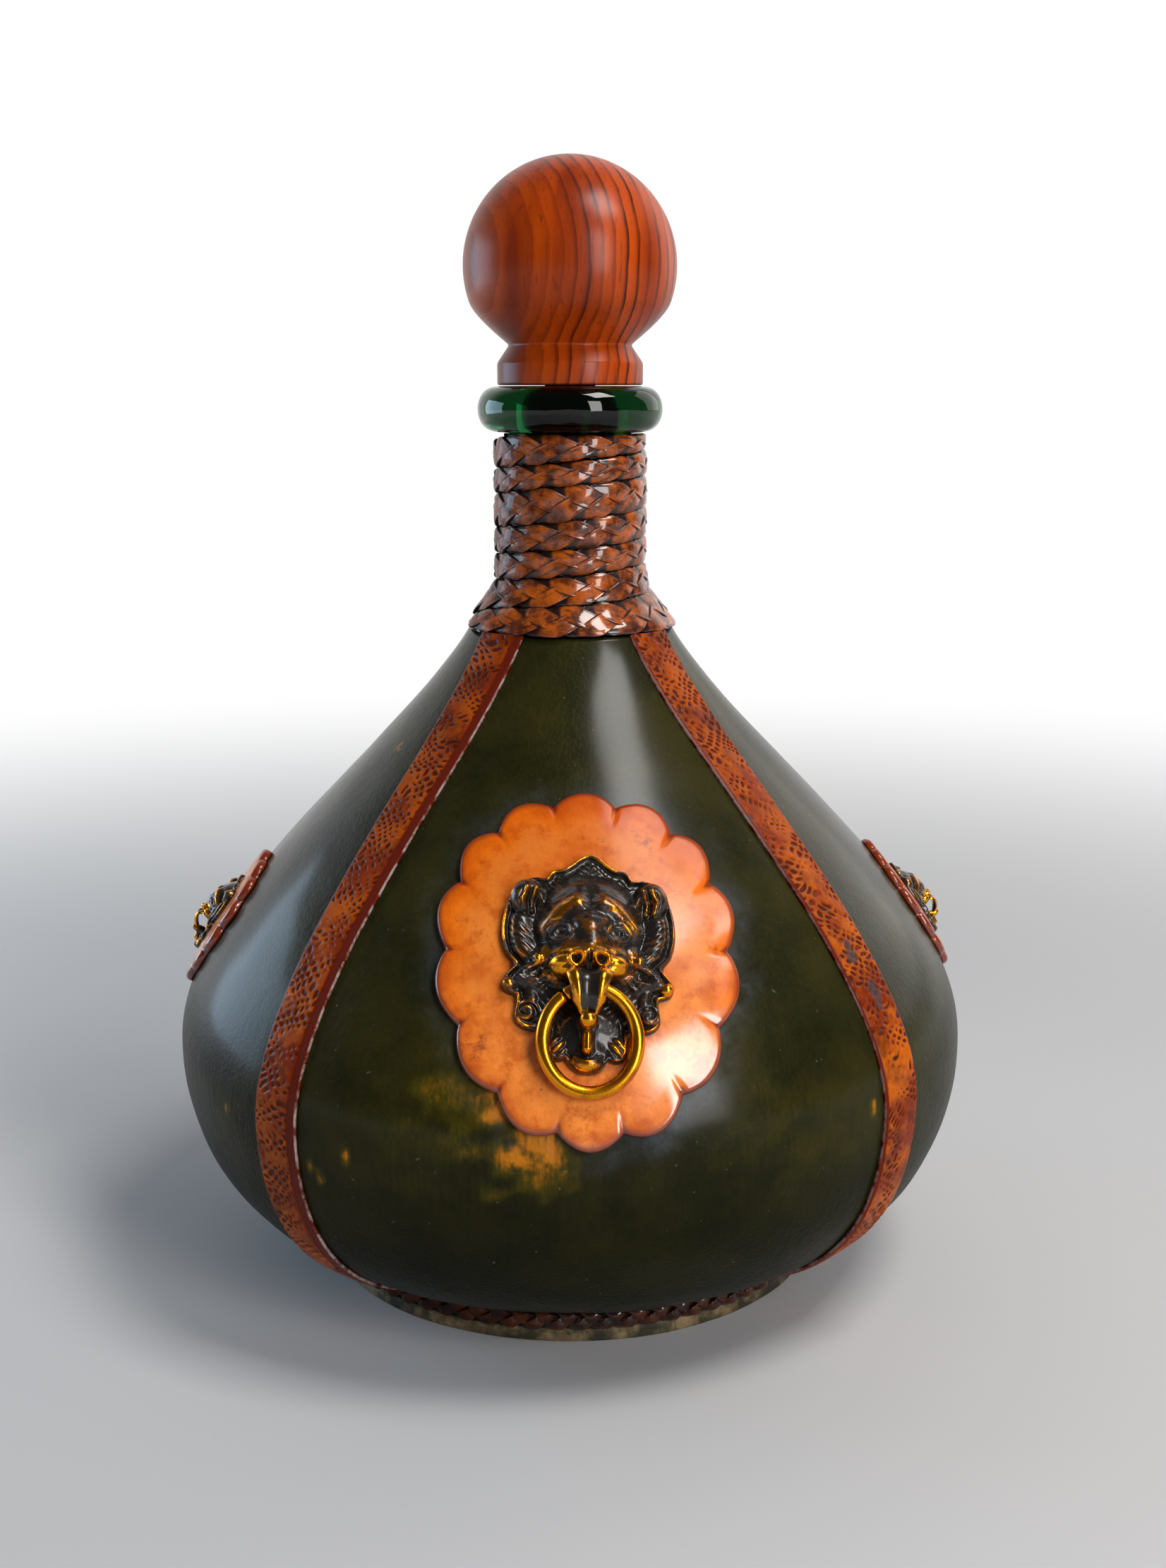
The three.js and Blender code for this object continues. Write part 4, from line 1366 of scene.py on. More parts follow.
    def face(self) -> Patch:
        """The relief on spokes and rings from the middle of the face, with a flat back.

        Returns:
            The closed surface.
        """
        angle = full_circle(self.spokes)
        reach, _ = self.reach(angle)
        share = np.linspace(0, 1, self.rings)[:, None]
        u, v = share * reach * np.sin(angle), share * reach * np.cos(angle)
        top = self.place.point(u * self.scale, v * self.scale, self.seat + self.relief(u, v) * self.scale)
        below = np.array([1, 0.5, 0])[:, None] * reach * self.scale
        back = self.place.point(below * np.sin(angle), below * np.cos(angle), self.seat)
        polish = np.concatenate([self.polish(u, v), np.zeros(back.shape[:2])])
        return Patch(np.concatenate([top, back]), fields={"polish": polish})

    def tongue(self) -> Patch:
        """A channel between two thick edges that bridges from the mouth to the ball under it.

        Its section is wide below, with sloping flanks up to its edges and a hollow between them. It is
        carried along a curve of (v, n) and narrows downwards.

        Returns:
            The closed surface.
        """
        share = np.linspace(0, 1, self.tongue_steps)[:, None]
        path = cubic(self.tongue_path, share[:, 0])
        along = unit(np.gradient(path, axis=0))
        half = (5.2 - 1.6 * smoothstep(0.1, 0.9, share)) * (1 - 0.28 * smoothstep(0.82, 1, share))
        turn = full_circle(self.tongue_sides)
        across = np.sign(np.cos(turn)) * np.abs(np.cos(turn)) ** 0.8
        top = 1.6 * (1 - across**4) - 1.4 * hump(across / 0.7)
        rise = np.where(np.sin(turn) > 0, top, 1.05 * np.sin(turn))
        v, n = path[:, :1] + along[:, 1:] * rise, path[:, 1:] - along[:, :1] * rise
        grid = self.place.point(half * across * self.scale, v * self.scale, self.seat + n * self.scale)
        edge = smoothstep(0.46, 0.6, np.abs(across)) * (1 - 0.5 * smoothstep(0.74, 0.88, np.abs(across)))
        return Patch.capped(grid, {"polish": 0.02 + 0.9 * edge * smoothstep(-0.3, 0.1, np.sin(turn))})

    def build(self) -> None:
        """Adds the casting."""
        add_piece(f"{self.node}_casting", self.node, [self.face(), self.tongue()], AgedBrass())


@dataclass
class SideMask(LionMask):
    """The mask of a side: the front one made smaller, with fewer points."""

    scale: float = 0.45 * MM
    spokes: int = 260
    rings: int = 72


@dataclass
class PullRing:
    """An oval ring of round wire, open at its joint, that hangs in the lion's mouth."""

    half_width: float = 0.01165
    half_height: float = 0.0128
    wire: float = 0.0036
    split: float = 0.0005
    split_angle: float = math.radians(-31)
    end_share: float = 0.86
    steps: int = 200
    sides: int = 28

    def build(self) -> None:
        """The wire's round section carried along the oval from one face of the joint to the other."""
        joint = next(joint for joint in frame["joints"] if joint["child"] == "ring")
        hinge = np.array(joint["pos_m"])
        low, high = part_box("pull_ring")
        hang = (np.array(low) + np.array(high)) / 2 - hinge
        hang[0] = 0
        hang = unit(hang)
        across = np.array([1.0, 0, 0])
        out = np.cross(hang, across)
        half = math.pi - self.split / 2 / self.half_width
        angle = (self.split_angle + math.pi + np.linspace(-half, half, self.steps))[:, None]
        wide, tall = across * self.half_width, hang * self.half_height
        middle = hinge + wide * np.sin(angle) + tall * (1 - np.cos(angle))
        along = unit(wide * np.cos(angle) + tall * np.sin(angle))
        sideways = np.cross(out, along)
        turn = full_circle(self.sides)[None, :, None]
        ease = np.ones(self.steps)
        ease[[0, -1]] = self.end_share
        section = out * np.cos(turn) + sideways[:, None] * np.sin(turn)
        grid = middle[:, None] + section * (self.wire / 2 * ease)[:, None, None]
        add_piece("pull_ring_wire", "pull_ring", [Patch.capped(grid)], RingBrass(), "ring")


# Leather over the glass

@dataclass
class Panels:
    """Four leather panels, a quarter of the body each, that meet under the straps.

    The worn spots have a middle beside the medallion's, half sizes and a strength, and the scuffs lie at
    angles in degrees and heights.
    """

    skin: BodySkin
    front: Medallion
    thickness: float = 0.0016
    seam: float = 0.0005
    fine_grid: tuple[int, int] = (230, 130)
    grid: tuple[int, int] = (120, 70)
    broad_swell: float = 0.22 * MM
    broad_wave: float = 0.045
    fine_swell: float = 0.07 * MM
    fine_wave: float = 0.016
    worn_spots: Sequence[tuple[Point, Point, float]] = (
        ((-0.014, -0.047), (0.015, 0.018), 1.3),
        ((-0.030, -0.036), (0.019, 0.020), 0.36),
        ((0.048, -0.046), (0.036, 0.023), 0.16),
        ((-0.042, -0.050), (0.036, 0.023), 0.16),
    )
    ragged: float = 0.3
    worn_wave: float = 0.010
    scuff_wave: float = 0.004
    haze_reach: float = 0.0095
    plain_haze: float = 0.1
    scuffs: Sequence[Point] = (
        (-39.4, 0.061), (-37.8, 0.058), (-33.2, 0.066), (-57, 0.066), (-60, 0.063), (39, 0.072),
    )
    scuff_half: Point = (0.0016, 0.0042)
    scuff_strength: float = 1.1

    def build(self) -> None:
        """Each panel is the skin between two joints, with an inner face a thickness below."""
        for side in Side:
            rows, columns = self.fine_grid if side is Side.FRONT else self.grid
            distance = np.linspace(0, self.skin.length, rows)[:, None]
            half = FULL_TURN / 8 - self.seam / 2 / self.skin.radius(distance)
            angle = side.value + half * np.linspace(-1, 1, columns)
            even = self.skin.point(distance, angle, 0.0)
            swell = unevenness(even, self.broad_wave, seed=3) * self.broad_swell
            swell = swell + unevenness(even, self.fine_wave, seed=4) * self.fine_swell
            outer = self.skin.point(distance, angle, swell)
            inner = self.skin.point(distance, angle, -self.thickness)
            fields = self.wear(distance, angle) if side is Side.FRONT else self.plain(distance, angle)
            name = f"panel_{side.name.lower()}"
            add_piece(f"{name}_leather", name, [Patch.slab(outer, inner, fields)], PanelLeather())

    def wear(self, distance: Array, angle: Array) -> dict[str, Array]:
        """The front panel's worn and faded spots, its scuffs, and the haze round the medallion's edge.

        Args:
            distance: Distances from the heel.
            angle: Angles round the axis.

        Returns:
            The worn and haze values.
        """
        u, v = self.front.place.local(distance, angle)
        right = smoothstep(-0.02, 0.045, u) * smoothstep(0.035, -0.03, v)
        near = smoothstep(self.haze_reach, 0.0, self.front.outside(u, v))
        ragged = self.ragged * unevenness(points_of(u, v), self.worn_wave, seed=7)
        worn = self.scuffed(distance, angle)
        for middle, half, strength in self.worn_spots:
            worn = worn + strength * hump(oval(u, v, middle, half) + ragged)
        return {"worn": worn, "haze": near * (0.3 + 0.7 * right)}

    def plain(self, distance: Array, angle: Array) -> dict[str, Array]:
        """The other panels' wear: scuffs alone, and a faint haze all over."""
        return {"worn": self.scuffed(distance, angle), "haze": np.full(angle.shape, self.plain_haze)}

    def scuffed(self, distance: Array, angle: Array) -> Array:
        """Upright scuffs beside the straps, with ragged edges.

        Args:
            distance: Distances from the heel.
            angle: Angles round the axis.

        Returns:
            The worn value.
        """
        worn = np.zeros(angle.shape)
        for turn, height in self.scuffs:
            across = (angle - math.radians(turn)) * self.skin.radius(distance)
            up = distance - self.skin.distance_at(height)
            ragged = self.ragged * unevenness(points_of(across, up, height), self.scuff_wave, seed=8)
            worn = worn + self.scuff_strength * hump(oval(across, up, (0, 0), self.scuff_half) + ragged)
        return worn


@dataclass
class Straps:
    """Four embossed straps of even width over the panels' joints.

    The lost spots lie at places across one strap and heights.
    """

    skin: BodySkin
    width: float = 0.0154
    thickness: float = 0.0011
    foot_gap: float = 0.004
    border: float = 0.0012
    hem: float = 0.0032
    hemmed_strap: str = "front_left"
    lost_strap: str = "front_right"
    lost_spots: Sequence[Point] = ((-0.0010, 0.1095), (0.0005, 0.0985))
    lost_half: Point = (0.0028, 0.0052)
    lost_ragged: float = 0.35
    lost_wave: float = 0.004
    cut_edge_and_highlight_from: float = 0.0003
    cut_edge_and_highlight_whole: float = 0.00008
    cut_edge_and_highlight_share: float = 0.25
    rows: int = 900
    columns: int = 54
    under_columns: int = 8
    net_pitch: float = 0.0029
    net_slant: float = 0.85
    vein_pitch: float = 0.0085
    net_depth: float = 0.00032
    small_bend: float = 1.1 * MM
    small_wave: float = 0.006
    large_bend: float = 2.2 * MM
    large_wave: float = 0.016
    patch_wave: float = 0.010
    crown_reach: float = 0.0008
    wander: float = 0.3 * MM
    wander_wave: float = 0.05

    def emboss(self, along: Array, across: Array, seed: int) -> Array:
        """The net of veins, 0 in its dents and 1 on the veins.

        The dents lie where two slanting sets of sines are both high, and a few broad slanting veins cross
        them. All are bent by swells and fade in patches.

        Args:
            along: Places along the strap.
            across: Places across it.
            seed: Of the swells.

        Returns:
            The net on the grid of both.
        """
        spot = points_of(along, across)
        dents, veins = np.ones(spot.shape[:2]), np.zeros(spot.shape[:2])
        for number, sense in enumerate((1, -1)):
            bend = unevenness(spot, self.small_wave, seed + number) * self.small_bend
            bend = bend + unevenness(spot, self.large_wave, seed + number + 50) * self.large_bend
            slanting = along + sense * self.net_slant * across + bend
            dents = dents * np.abs(np.sin(math.pi * slanting / self.net_pitch))
            vein = 1 - np.abs(np.mod(slanting / self.vein_pitch, 1) - 0.5) * 2
            veins = np.maximum(veins, smoothstep(0.6, 1.0, vein))
        patchy = np.clip(0.75 + 0.6 * unevenness(spot, self.patch_wave, seed + 90), 0.25, 1.2)
        return np.maximum(1 - smoothstep(0.2, 0.75, dents * patchy), veins * np.clip(1.3 - patchy, 0, 1))

    def lost(self, distance: Array, across: Array) -> Array:
        """Spots with ragged edges where the leather's face has come off.

        Args:
            distance: Distances from the heel.
            across: Places across the strap.

        Returns:
            1 in the middle of a spot and 0 outside.
        """
        worn = np.zeros(np.broadcast(distance, across).shape)
        for place, height in self.lost_spots:
            up = distance - self.skin.distance_at(height)
            ragged = self.lost_ragged * unevenness(points_of(across, up, height), self.lost_wave, seed=6)
            worn = np.maximum(worn, hump(oval(across, up, (place, 0), self.lost_half) + ragged))
        return worn

    def build(self) -> None:
        """The strap's section, a slab with rounded upper edges, carried up the meridian over each joint.

        One strap has a plain hem along the side that faces the front panel, and a bare cut edge there,
        painted pale partly as a highlight.
        """
        half = self.width / 2
        distance = np.linspace(self.foot_gap, self.skin.length, self.rows)[:, None]
        radius = self.skin.radius(distance)
        across = half * np.sin(np.linspace(-1, 1, self.columns) * math.pi / 2)
        below = np.linspace(half, -half, self.under_columns)
        inset = half - np.abs(across)
        crown = smoothstep(0, self.crown_reach, inset) ** 0.5
        # The side value paints the pale cut edge, partly the edge's own colour and partly a painted
        # highlight.
        side = smoothstep(self.cut_edge_and_highlight_from, self.cut_edge_and_highlight_whole, inset)
        for index, name in enumerate(("front_right", "back_right", "back_left", "front_left")):
            angle = (index + 0.5) * FULL_TURN / 4
            border = smoothstep(self.border, self.border * 0.5, inset)
            cut = side * self.cut_edge_and_highlight_share
            if name == self.hemmed_strap:
                border = np.maximum(border, smoothstep(self.hem, self.hem * 0.7, half - across))
                cut = side * (self.cut_edge_and_highlight_share + (1 - self.cut_edge_and_highlight_share) * smoothstep(half, 0, half - across))
            lost = self.lost(distance, across) if name == self.lost_strap else np.zeros(1)
            net = self.emboss(distance, across, seed=20 + 8 * index) * (1 - border)
            wander = unevenness(distance * (1.0, 0.3, 0.0) + index, self.wander_wave, seed=9)[:, None]
            wander = wander * self.wander
            lift = GAP + self.thickness * (0.5 + 0.5 * crown) - self.net_depth * (1 - net) * crown
            top = self.skin.point(distance, angle + (across + wander) / radius, lift)
            under = self.skin.point(distance, angle + (below + wander) / radius, BED)
            plain = np.zeros(under.shape[:2])
            fields = {
                "emboss": np.concatenate([net, plain], axis=1),
                "border": np.concatenate([np.broadcast_to(border, net.shape), plain], axis=1),
                "side": np.concatenate([np.broadcast_to(cut, net.shape), plain + 1], axis=1),
                "lost": np.concatenate([np.broadcast_to(lost, net.shape), plain], axis=1),
            }
            patch = Patch.capped(np.concatenate([top, under], axis=1), fields)
            add_piece(f"strap_{name}_leather", f"strap_{name}", [patch], StrapLeather())


# Glass, braids and sole

@dataclass
class Glass:
    """The blown bottle: foot, body under the leather, neck and rolled lip, hollow inside."""

    skin: BodySkin
    panel: float = Panels.thickness
    wall: float = 0.0036
    floor: float = 0.006
    foot_radius: float = 0.0694
    base_height: float = 0.0043
    neck_radius: float = 0.0175
    neck_straight: float = 0.207
    neck_flare: float = 0.0095
    lip_radius: float = 0.0264
    lip_bottom: float = 0.2442
    lip_top: float = 0.257
    lip_fullness: float = 0.8
    body_steps: int = 60
    neck_steps: int = 24
    lip_steps: int = 28
    mouth_steps: int = 12
    spokes: int = 144

    @property
    def lift(self) -> float:
        """How far the glass lies under the leather's outer face, as a negative lift."""
        return -self.panel - GAP

    @property
    def bore(self) -> float:
        """Radius of the neck's bore."""
        return self.neck_radius - self.wall

    def neck(self) -> Array:
        """The curve from the shoulder to the straight neck, as (radius, height).

        Returns:
            Its points.
        """
        start = self.skin.lifted(self.skin.length, self.lift)
        slope = np.array([-self.skin.normals[-1, 1], self.skin.normals[-1, 0]])
        straight = np.array([self.neck_radius, self.neck_straight])
        handle = np.array([0, self.neck_flare])
        corners = (start, start + slope * self.neck_flare, straight - handle, straight)
        return cubic(corners, np.linspace(0, 1, self.neck_steps))

    def radius_at(self, height: Array) -> Array:
        """Outer radius of the neck at a height over the shoulder."""
        curve = self.neck()
        return np.interp(height, curve[:, 1], curve[:, 0])

    def profile(self) -> Array:
        """Outside from the foot to the lip, a half oval, and back down the bore and the inner wall.

        Returns:
            Its points, as (radius, height).
        """
        distance = np.linspace(0, self.skin.length, self.body_steps)
        outer = self.skin.lifted(distance, self.lift)
        inner = self.skin.lifted(distance[::-2], self.lift - self.wall)
        middle = (self.lip_radius + self.bore) / 2
        bulge = (self.lip_top - self.lip_bottom) / 2
        turn = np.linspace(-math.pi / 2, math.pi / 2, self.lip_steps)
        lip = np.stack([
            middle + (self.lip_radius - middle) * np.cos(turn) ** self.lip_fullness,
            self.lip_bottom + bulge * (1 + np.sin(turn)),
        ], axis=-1)
        mouth_turn = np.linspace(0, math.pi / 2, self.mouth_steps)[1:]
        mouth = np.stack([
            middle - (middle - self.bore) * np.sin(mouth_turn),
            self.lip_top - bulge * (1 - np.cos(mouth_turn)),
        ], axis=-1)
        base, floor = self.base_height, self.base_height + self.floor
        return np.vstack([
            [(0, base), (self.foot_radius, base), (self.foot_radius, self.skin.heel[1])],
            outer,
            self.neck()[1:],
            [(self.neck_radius, self.lip_bottom)],
            lip,
            mouth,
            [(self.bore, self.neck_straight)],
            inner,
            [(self.foot_radius - self.wall - self.floor, floor), (0, floor)],
        ])

    def build(self) -> None:
        """Adds the bottle."""
        grid = turned(self.profile(), self.spokes)
        add_piece("glass_bottle_blown", "glass_bottle", [Patch(grid)], BottleGlass())


@dataclass
class Plait:
    """A flat plait of broad laces.

    Each lace swings across the band as a sine of the length along it, straightened between its turns, and
    rises and sinks at twice that rate. With three laces, each follows a third of a period after the one
    before, so that it passes over one neighbour and under the other. The laces are cut off at the band's
    edges, which are rounded. The swing and a lace's half width are shares of the band's half width.
    """

    period: float
    laces: int = 3
    depth: float = 0.0043
    swing: float = 0.70
    lace_half: float = 0.56
    straight: float = 0.14
    dip: float = 0.00042
    thick: float = 0.00045
    fold: float = 0.00022
    fold_from: float = 0.88
    side_power: float = 0.6
    face_power: float = 0.4
    crown: float = 0.0009
    crown_power: int = 6
    over_width: float = 0.12
    slim_half: float = 0.0025
    face_sides: int = 16
    under_sides: int = 4

    def lace(self, number: int, length: Array, half: Array) -> tuple[Array, Array, Array, dict[str, Array]]:
        """One lace's surface in the band's own frame.

        Args:
            number: Which of the laces.
            length: Places along the band, as (rows, 1).
            half: The band's half width there.

        Returns:
            Places along and across the band and out of its bed, and the values that the finish reads. Those
            are how bare each place lies, less at a lace's edges and where it passes under another, which sets
            the painted shade of the crevices, and its place along and across the lace.
        """
        phase = FULL_TURN * (length / self.period + number / self.laces)
        middle = self.swing * half * np.sin(phase - self.straight * np.sin(2 * phase))
        sway = np.gradient(middle[:, 0], length[:, 0])[:, None]
        square = 1 / np.hypot(1, sway)
        over = -np.sin(2 * phase)
        face_turn = np.linspace(0, math.pi, self.face_sides, endpoint=False)
        under_turn = np.linspace(math.pi, FULL_TURN, self.under_sides, endpoint=False)
        turn = np.concatenate([face_turn, under_turn])
        flat = np.sign(np.cos(turn)) * np.abs(np.cos(turn)) ** self.side_power
        wide = flat * self.lace_half * half * (1 + self.over_width * over)
        folded = hump((np.abs(flat) - self.fold_from) / (1 - self.fold_from))
        face = self.thick * np.abs(np.sin(turn)) ** self.face_power + self.fold * folded
        deep = np.where(np.sin(turn) > 0, face, -self.depth * np.abs(np.sin(turn)))
        across = np.clip(middle + wide * square, -half, half)
        out = self.depth - self.thick - self.dip * (1 - over) + deep
        out = out - self.crown * (across / half) ** self.crown_power
        # How bare a place is; the finish paints shade where it is low.
        bare = smoothstep(-0.7, 0.1, over) - 0.8 * smoothstep(0.80, 0.95, np.abs(flat))
        bare = bare - 0.7 * smoothstep(0.88, 1, np.abs(across / half))
        slim = np.minimum(1, half / self.slim_half)
        values = {
            "raised": bare,
            "lace_along": np.broadcast_to(length + number, wide.shape),
            "lace_across": wide,
        }
        return length - wide * sway * square, across, np.maximum(out * slim, BED), values


@dataclass
class NeckBraid:
    """One plaited cord wound up the neck, whose lowest turn climbs over its own tucked start."""

    glass: Glass
    period: float = 0.0325
    start_angle: float = math.radians(-20)
    tuck_turn: float = 0.19
    level_turn: float = 0.65
    climb_turn: float = 0.3
    end_turn: float = 6.8
    low: float = 0.18915
    top: float = 0.2439
    steepening: float = 0.0007
    band_heights: Sequence[float] = (0.0075, 0.0080, 0.0075, 0.0077, 0.0097, 0.0066, 0.0088)
    width_share: float = 0.06
    width_wave: float = 0.03
    drift: float = 0.0020
    drift_wave: float = 0.022
    samples: int = 4000
    step: float = 0.00065

    def lower_edge(self, turn: Array) -> Array:
        """The band's lower edge: level, then a climb over the first turn, then the sum of the bands below it.

        In front it climbs faster than behind, by a sine of the angle.

        Args:
            turn: Turns from the cord's start.

        Returns:
            The edge's heights.
        """
        edges = self.low + running_sum(self.band_heights)
        climb = smoothstep(self.level_turn, self.level_turn + self.climb_turn, turn) * self.band_heights[0]
        wound = np.interp(turn, np.arange(len(edges)), edges)
        steeper = self.steepening * np.sin(self.start_angle + turn * FULL_TURN) * smoothstep(0.5, 1.2, turn)
        return np.where(turn < 1, self.low + climb, wound) + steeper

    def build(self) -> None:
        """The plait's laces bent round the neck: across is up, and out is away from the glass.

        The band's width is a little uneven, and each lace drifts along it.
        """
        plait = Plait(self.period)
        turns = np.linspace(-self.tuck_turn, self.end_turn, self.samples)
        low = self.lower_edge(np.maximum(turns, 0))
        high = np.minimum(self.lower_edge(turns + 1), self.top)
        middle, half = (low + high) / 2, (high - low) / 2
        radius = self.glass.radius_at(middle) + GAP + plait.depth
        lengths = running_sum(np.diff(turns) * FULL_TURN * (radius[1:] + radius[:-1]) / 2)
        along = np.arange(0, lengths[-1], self.step)[:, None]
        track = along * (1.0, 0.4, 0.0)
        uneven = unevenness(track, self.width_wave, seed=31)[:, None]
        wide = np.interp(along, lengths, half) * (1 + self.width_share * uneven)
        patches = []
        for number in range(plait.laces):
            drift = unevenness(track, self.drift_wave, seed=35 + number)[:, None]
            here, across, out, values = plait.lace(number, along + self.drift * drift, wide)
            turn = np.interp(here, lengths, turns)
            height = np.interp(here, lengths, middle) + across
            reach = self.glass.radius_at(height) + GAP + out
            grid = around_axis(reach, self.start_angle + turn * FULL_TURN, height)
            patches.append(Patch.capped(grid, values))
        add_piece("neck_braid_plait", "neck_braid", patches, BraidLeather())


@dataclass
class FootBraid:
    """A plaited cord round the foot, in a loop that closes at the back."""

    repeats: int = 24
    steps: int = 1100
    depth: float = 0.0054
    dip: float = 0.0011
    thick: float = 0.0013

    def build(self) -> None:
        """The plait's laces bent round the foot, with a whole number of periods in the loop."""
        low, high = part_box("foot_braid")
        radius = high.x - self.depth
        around = FULL_TURN * high.x
        plait = Plait(around / self.repeats, depth=self.depth, dip=self.dip, thick=self.thick)
        along = np.arange(self.steps)[:, None] / self.steps * around
        half = np.full_like(along, (high.z - low.z) / 2)
        patches = []
        for number in range(plait.laces):
            here, across, out, values = plait.lace(number, along, half)
            grid = around_axis(radius + out, math.pi + here / high.x, (low.z + high.z) / 2 + across)
            patches.append(Patch(grid, loop=True, fields=values))
        add_piece("foot_braid_plait", "foot_braid", patches, FootBraidLeather())


@dataclass
class Sole:
    """The leather disc that the bottle stands on."""

    fillet: float = 0.0009
    rim_share: float = 0.004
    rim_wave: float = 0.03
    rim_power: int = 8
    spokes: int = 160

    def build(self) -> None:
        """A disc with rounded edges whose rim swells and sinks by a small share of its radius."""
        low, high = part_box("sole")
        corners = [(0, low.z), (high.x, low.z), (high.x, high.z), (0, high.z)]
        grid = turned(rounded(corners, self.fillet), self.spokes)
        rim = np.hypot(grid[..., 0], grid[..., 1]) / high.x
        sunk = self.rim_share * (1 + unevenness(grid, self.rim_wave, seed=12)) * rim**self.rim_power
        grid[..., :2] *= (1 - sunk)[..., None]
        add_piece("sole_leather", "sole", [Patch(grid)], SoleLeather())


@dataclass
class Stopper:
    """The turned knob, a ball on a waisted collar, and the cork under it."""

    ball_radius: float = 0.0301
    ball_height: float = 0.2899
    cove_radius: float = 0.0285
    cove_slope: float = math.radians(40)
    cove_reach: float = 0.004
    cove_steps: int = 16
    cove_start: int = 3
    waist: Point = (0.0173, 0.2684)
    collar_radius: float = 0.0207
    collar_shoulder: float = 0.2634
    collar_height: float = 0.2573
    tenon_radius: float = 0.007
    tenon_length: float = 0.014
    fillet: float = 0.0007
    ball_steps: int = 72
    spokes: int = 160
    cork_taper: float = 0.0008
    cork_spokes: int = 96

    def knob(self) -> Array:
        """The knob's profile from the tenon's end up to the ball's top.

        Under the ball a cubic curve leaves it along its tangent and runs straight into the waist. The waist's
        rounding takes the place of the curve's first points.

        Returns:
            Its points, as (radius, height).
        """
        end = self.collar_height - self.tenon_length
        low = math.acos(self.cove_radius / self.ball_radius)
        leave = np.array([self.cove_radius, self.ball_height - self.ball_radius * math.sin(low)])
        tangent = np.array([-math.sin(low), -math.cos(low)])
        waist = np.array(self.waist)
        straight = np.array([math.cos(self.cove_slope), math.sin(self.cove_slope)])
        bend = (waist, waist + straight * self.cove_reach, leave + tangent * self.cove_reach, leave)
        cove = cubic(bend, np.linspace(0, 1, self.cove_steps))
        corners = [
            (0, end),
            (self.tenon_radius, end),
            (self.tenon_radius, self.collar_height),
            (self.collar_radius, self.collar_height),
            (self.collar_radius, self.collar_shoulder),
            self.waist,
            cove[self.cove_start],
        ]
        turn = np.linspace(-low, math.pi / 2, self.ball_steps)[1:]
        ball = np.stack([np.cos(turn), np.sin(turn)], axis=-1) * self.ball_radius + (0, self.ball_height)
        ball[-1, 0] = 0
        return np.vstack([rounded(corners, self.fillet), cove[self.cove_start + 1:], ball])

    def cork(self) -> Array:
        """The cork's profile from the middle of its lower end round to the floor of the tenon's socket.

        Returns:
            Its points, as (radius, height).
        """
        low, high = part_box("stopper_cork")
        socket = self.tenon_radius + GAP
        socket_end = self.collar_height - self.tenon_length - GAP
        corners = [
            (0, low.z),
            (high.x - self.cork_taper, low.z),
            (high.x, high.z),
            (socket, high.z),
            (socket, socket_end),
            (0, socket_end),
        ]
        return rounded(corners, self.fillet)

    def build(self) -> None:
        """Adds the knob and the cork."""
        knob, cork = turned(self.knob(), self.spokes), turned(self.cork(), self.cork_spokes)
        add_piece("stopper_knob_turned", "stopper_knob", [Patch(knob)], TurnedWood(), "stopper")
        add_piece("stopper_cork_plug", "stopper_cork", [Patch(cork)], PlugCork(), "stopper")


# Studio

@dataclass(frozen=True)
class Lamp:
    """A soft lamp that faces the bottle.

    It stands at degrees to the right of the front and degrees over the horizon, some metres away.
    """

    name: str
    round_by: float
    up: float
    away: float
    size: Point
    watts: float
    tint: Colour

    def build(self, target: Vector) -> None:
        """Adds the lamp, at its distance from a target and turned towards it.

        Args:
            target: What it faces.
        """
        data = bpy.data.lights.new(self.name, "AREA")
        data.shape = "RECTANGLE"
        data.size, data.size_y = self.size
        data.energy = self.watts
        data.color = self.tint
        lamp = bpy.data.objects.new(self.name, data)
        angle, rise = math.radians(self.round_by), math.radians(self.up)
        way = Vector((math.sin(angle) * math.cos(rise), -math.cos(angle) * math.cos(rise), math.sin(rise)))
        lamp.location = target + way * self.away
        lamp.rotation_euler = way.to_track_quat("Z", "Y").to_euler()
        bpy.context.scene.collection.objects.link(lamp)


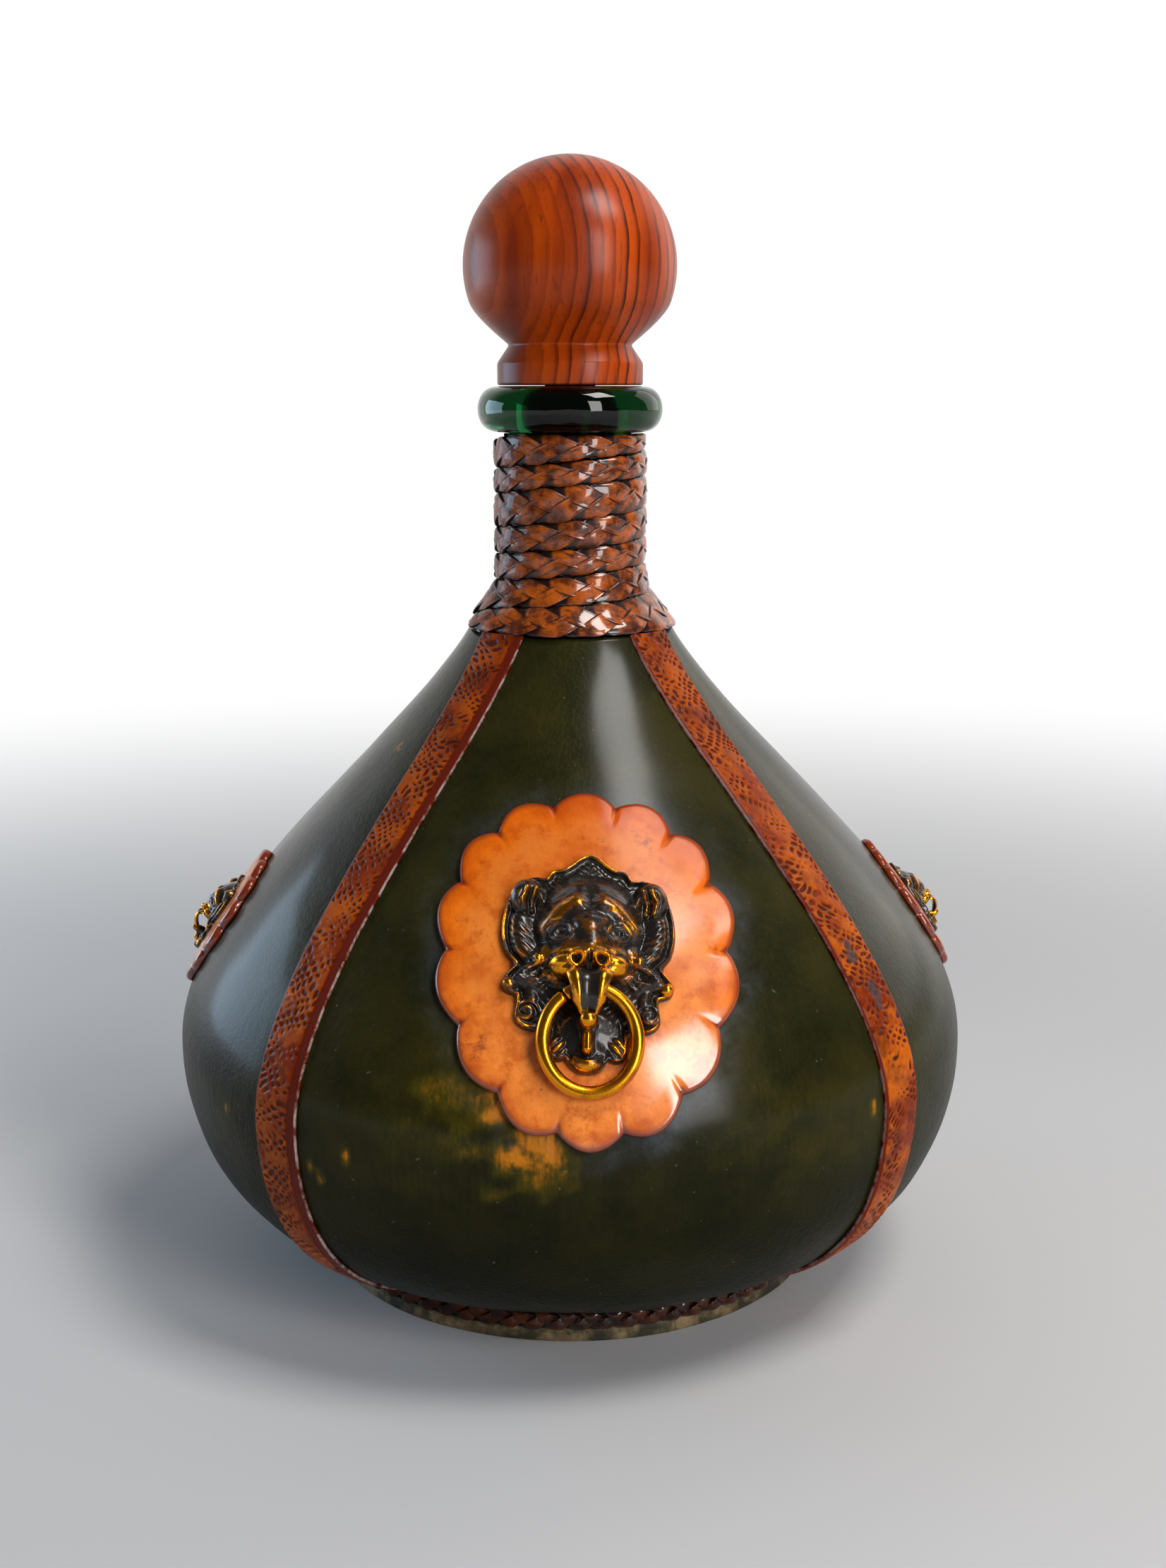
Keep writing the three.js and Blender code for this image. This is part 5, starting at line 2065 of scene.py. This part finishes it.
@dataclass
class Studio:
    """The camera that the photograph was taken with, soft lamps and a pale floor."""

    camera_at: tuple[float, float, float] = (-0.0359, -0.5403, 0.2548)
    turn: float = math.radians(-4.19)
    pitch: float = math.radians(11.84)
    lens: float = 42.70
    sensor: float = 36.0
    clip_start: float = 0.01
    target: tuple[float, float, float] = (0.0, 0.0, 0.15)
    lamps: Sequence[Lamp] = (
        Lamp("key", round_by=52, up=61, away=1.1, size=(0.36, 0.40), watts=8.5, tint=(1.0, 0.98, 0.95)),
        Lamp("front", round_by=29, up=18, away=1.2, size=(0.32, 0.80), watts=9.5, tint=(1.0, 0.98, 0.97)),
        Lamp("window", round_by=-114, up=9, away=1.3, size=(0.8, 0.6), watts=8.0, tint=(0.55, 0.77, 1.0)),
        Lamp("wall", round_by=122, up=22, away=1.4, size=(0.8, 1.0), watts=3.0, tint=(1.0, 0.95, 0.88)),
    )
    room: float = 0.08
    backdrop: Point = (0.3, 0.8)
    floor_reach: float = 6.0
    floor_grey: Colour = (0.52, 0.52, 0.53)
    floor_fade: Point = (0.25, 1.1)
    white: Colour = (1.0, 1.0, 1.0)

    def build(self) -> None:
        """Adds the camera, the lamps, the world and the floor."""
        scene = bpy.context.scene
        scene.view_settings.view_transform = "Standard"
        self.camera(scene)
        for lamp in self.lamps:
            lamp.build(Vector(self.target))
        self.world(scene)
        self.floor()

    def camera(self, scene: bpy.types.Scene) -> None:
        """The fitted camera.

        Args:
            scene: What it is added to.
        """
        lens = bpy.data.cameras.new("camera")
        lens.lens = self.lens
        lens.sensor_width = self.sensor
        lens.clip_start = self.clip_start
        eye = bpy.data.objects.new("camera", lens)
        eye.location = self.camera_at
        eye.rotation_euler = (math.pi / 2 - self.pitch, 0, self.turn)
        scene.collection.objects.link(eye)
        scene.camera = eye

    def world(self, scene: bpy.types.Scene) -> None:
        """White light behind the bottle, which falls to that of a dim room at its sides and in front.

        Args:
            scene: What it is added to.
        """
        scene.world = bpy.data.worlds.new("studio")
        graph = Graph(scene.world)
        way = graph.node("ShaderNodeTexCoord", output="Generated")
        depth = graph.node("ShaderNodeSeparateXYZ", {}, {"Vector": way}, output="Y")
        light = self.room + depth.step(*self.backdrop) * (1 - self.room)
        shade = graph.node("ShaderNodeBackground", {}, {"Color": self.white, "Strength": light})
        graph.end("ShaderNodeOutputWorld", shade)

    def floor(self) -> None:
        """A pale floor that looks white away from the bottle, and lights it as a grey one."""
        reach = self.floor_reach
        mesh = bpy.data.meshes.new("floor")
        corners = [(-reach, -reach, 0), (reach, -reach, 0), (reach, reach, 0), (-reach, reach, 0)]
        mesh.from_pydata(corners, [], [(0, 1, 2, 3)])
        pale = bpy.data.materials.new("PaleFloor")
        graph = Graph(pale)
        away = graph.node("ShaderNodeVectorMath", {"operation": "LENGTH"}, {0: graph.place()}, output="Value")
        matte = graph.node("ShaderNodeBsdfDiffuse", {}, {"Color": self.floor_grey})
        white = graph.node("ShaderNodeEmission", {}, {"Color": self.white})
        seen = graph.node("ShaderNodeLightPath", output="Is Camera Ray")
        mirrored = graph.node("ShaderNodeLightPath", output="Is Glossy Ray")
        through = graph.node("ShaderNodeLightPath", output="Is Transmission Ray")
        fade = away.step(*self.floor_fade) * (seen + mirrored + through).step(0, 1)
        shader = graph.node("ShaderNodeMixShader", {}, {0: fade, 1: matte, 2: white})
        graph.end("ShaderNodeOutputMaterial", shader)
        mesh.materials.append(pale)
        floor = bpy.data.objects.new("floor", mesh)
        bpy.context.scene.collection.objects.link(floor)


def main() -> None:
    """Builds the studio and the bottle's pieces."""
    logging.basicConfig(level=logging.INFO, format="%(message)s")
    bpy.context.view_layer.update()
    Studio().build()
    skin = BodySkin()
    front_angle = Side.FRONT.value
    disc_place = Place(skin, front_angle, FRONT_HEIGHT, shift=-0.0018, lean=math.radians(1.5))
    mask_place = Place(skin, front_angle, FRONT_HEIGHT, shift=-0.0019, lean=math.radians(3.5))
    front = Medallion(disc_place, "medallion_front")
    Panels(skin, front).build()
    Straps(skin).build()
    front.build()
    LionMask(mask_place, "mask_front").build()
    PullRing().build()
    for side in (Side.RIGHT, Side.LEFT):
        name = side.name.lower()
        place = Place(skin, side.value, SIDE_HEIGHT)
        SideMedallion(place, f"medallion_{name}").build()
        SideMask(place, f"mask_{name}").build()
    glass = Glass(skin)
    glass.build()
    NeckBraid(glass).build()
    FootBraid().build()
    Sole().build()
    Stopper().build()


if __name__ == "__main__":
    main()
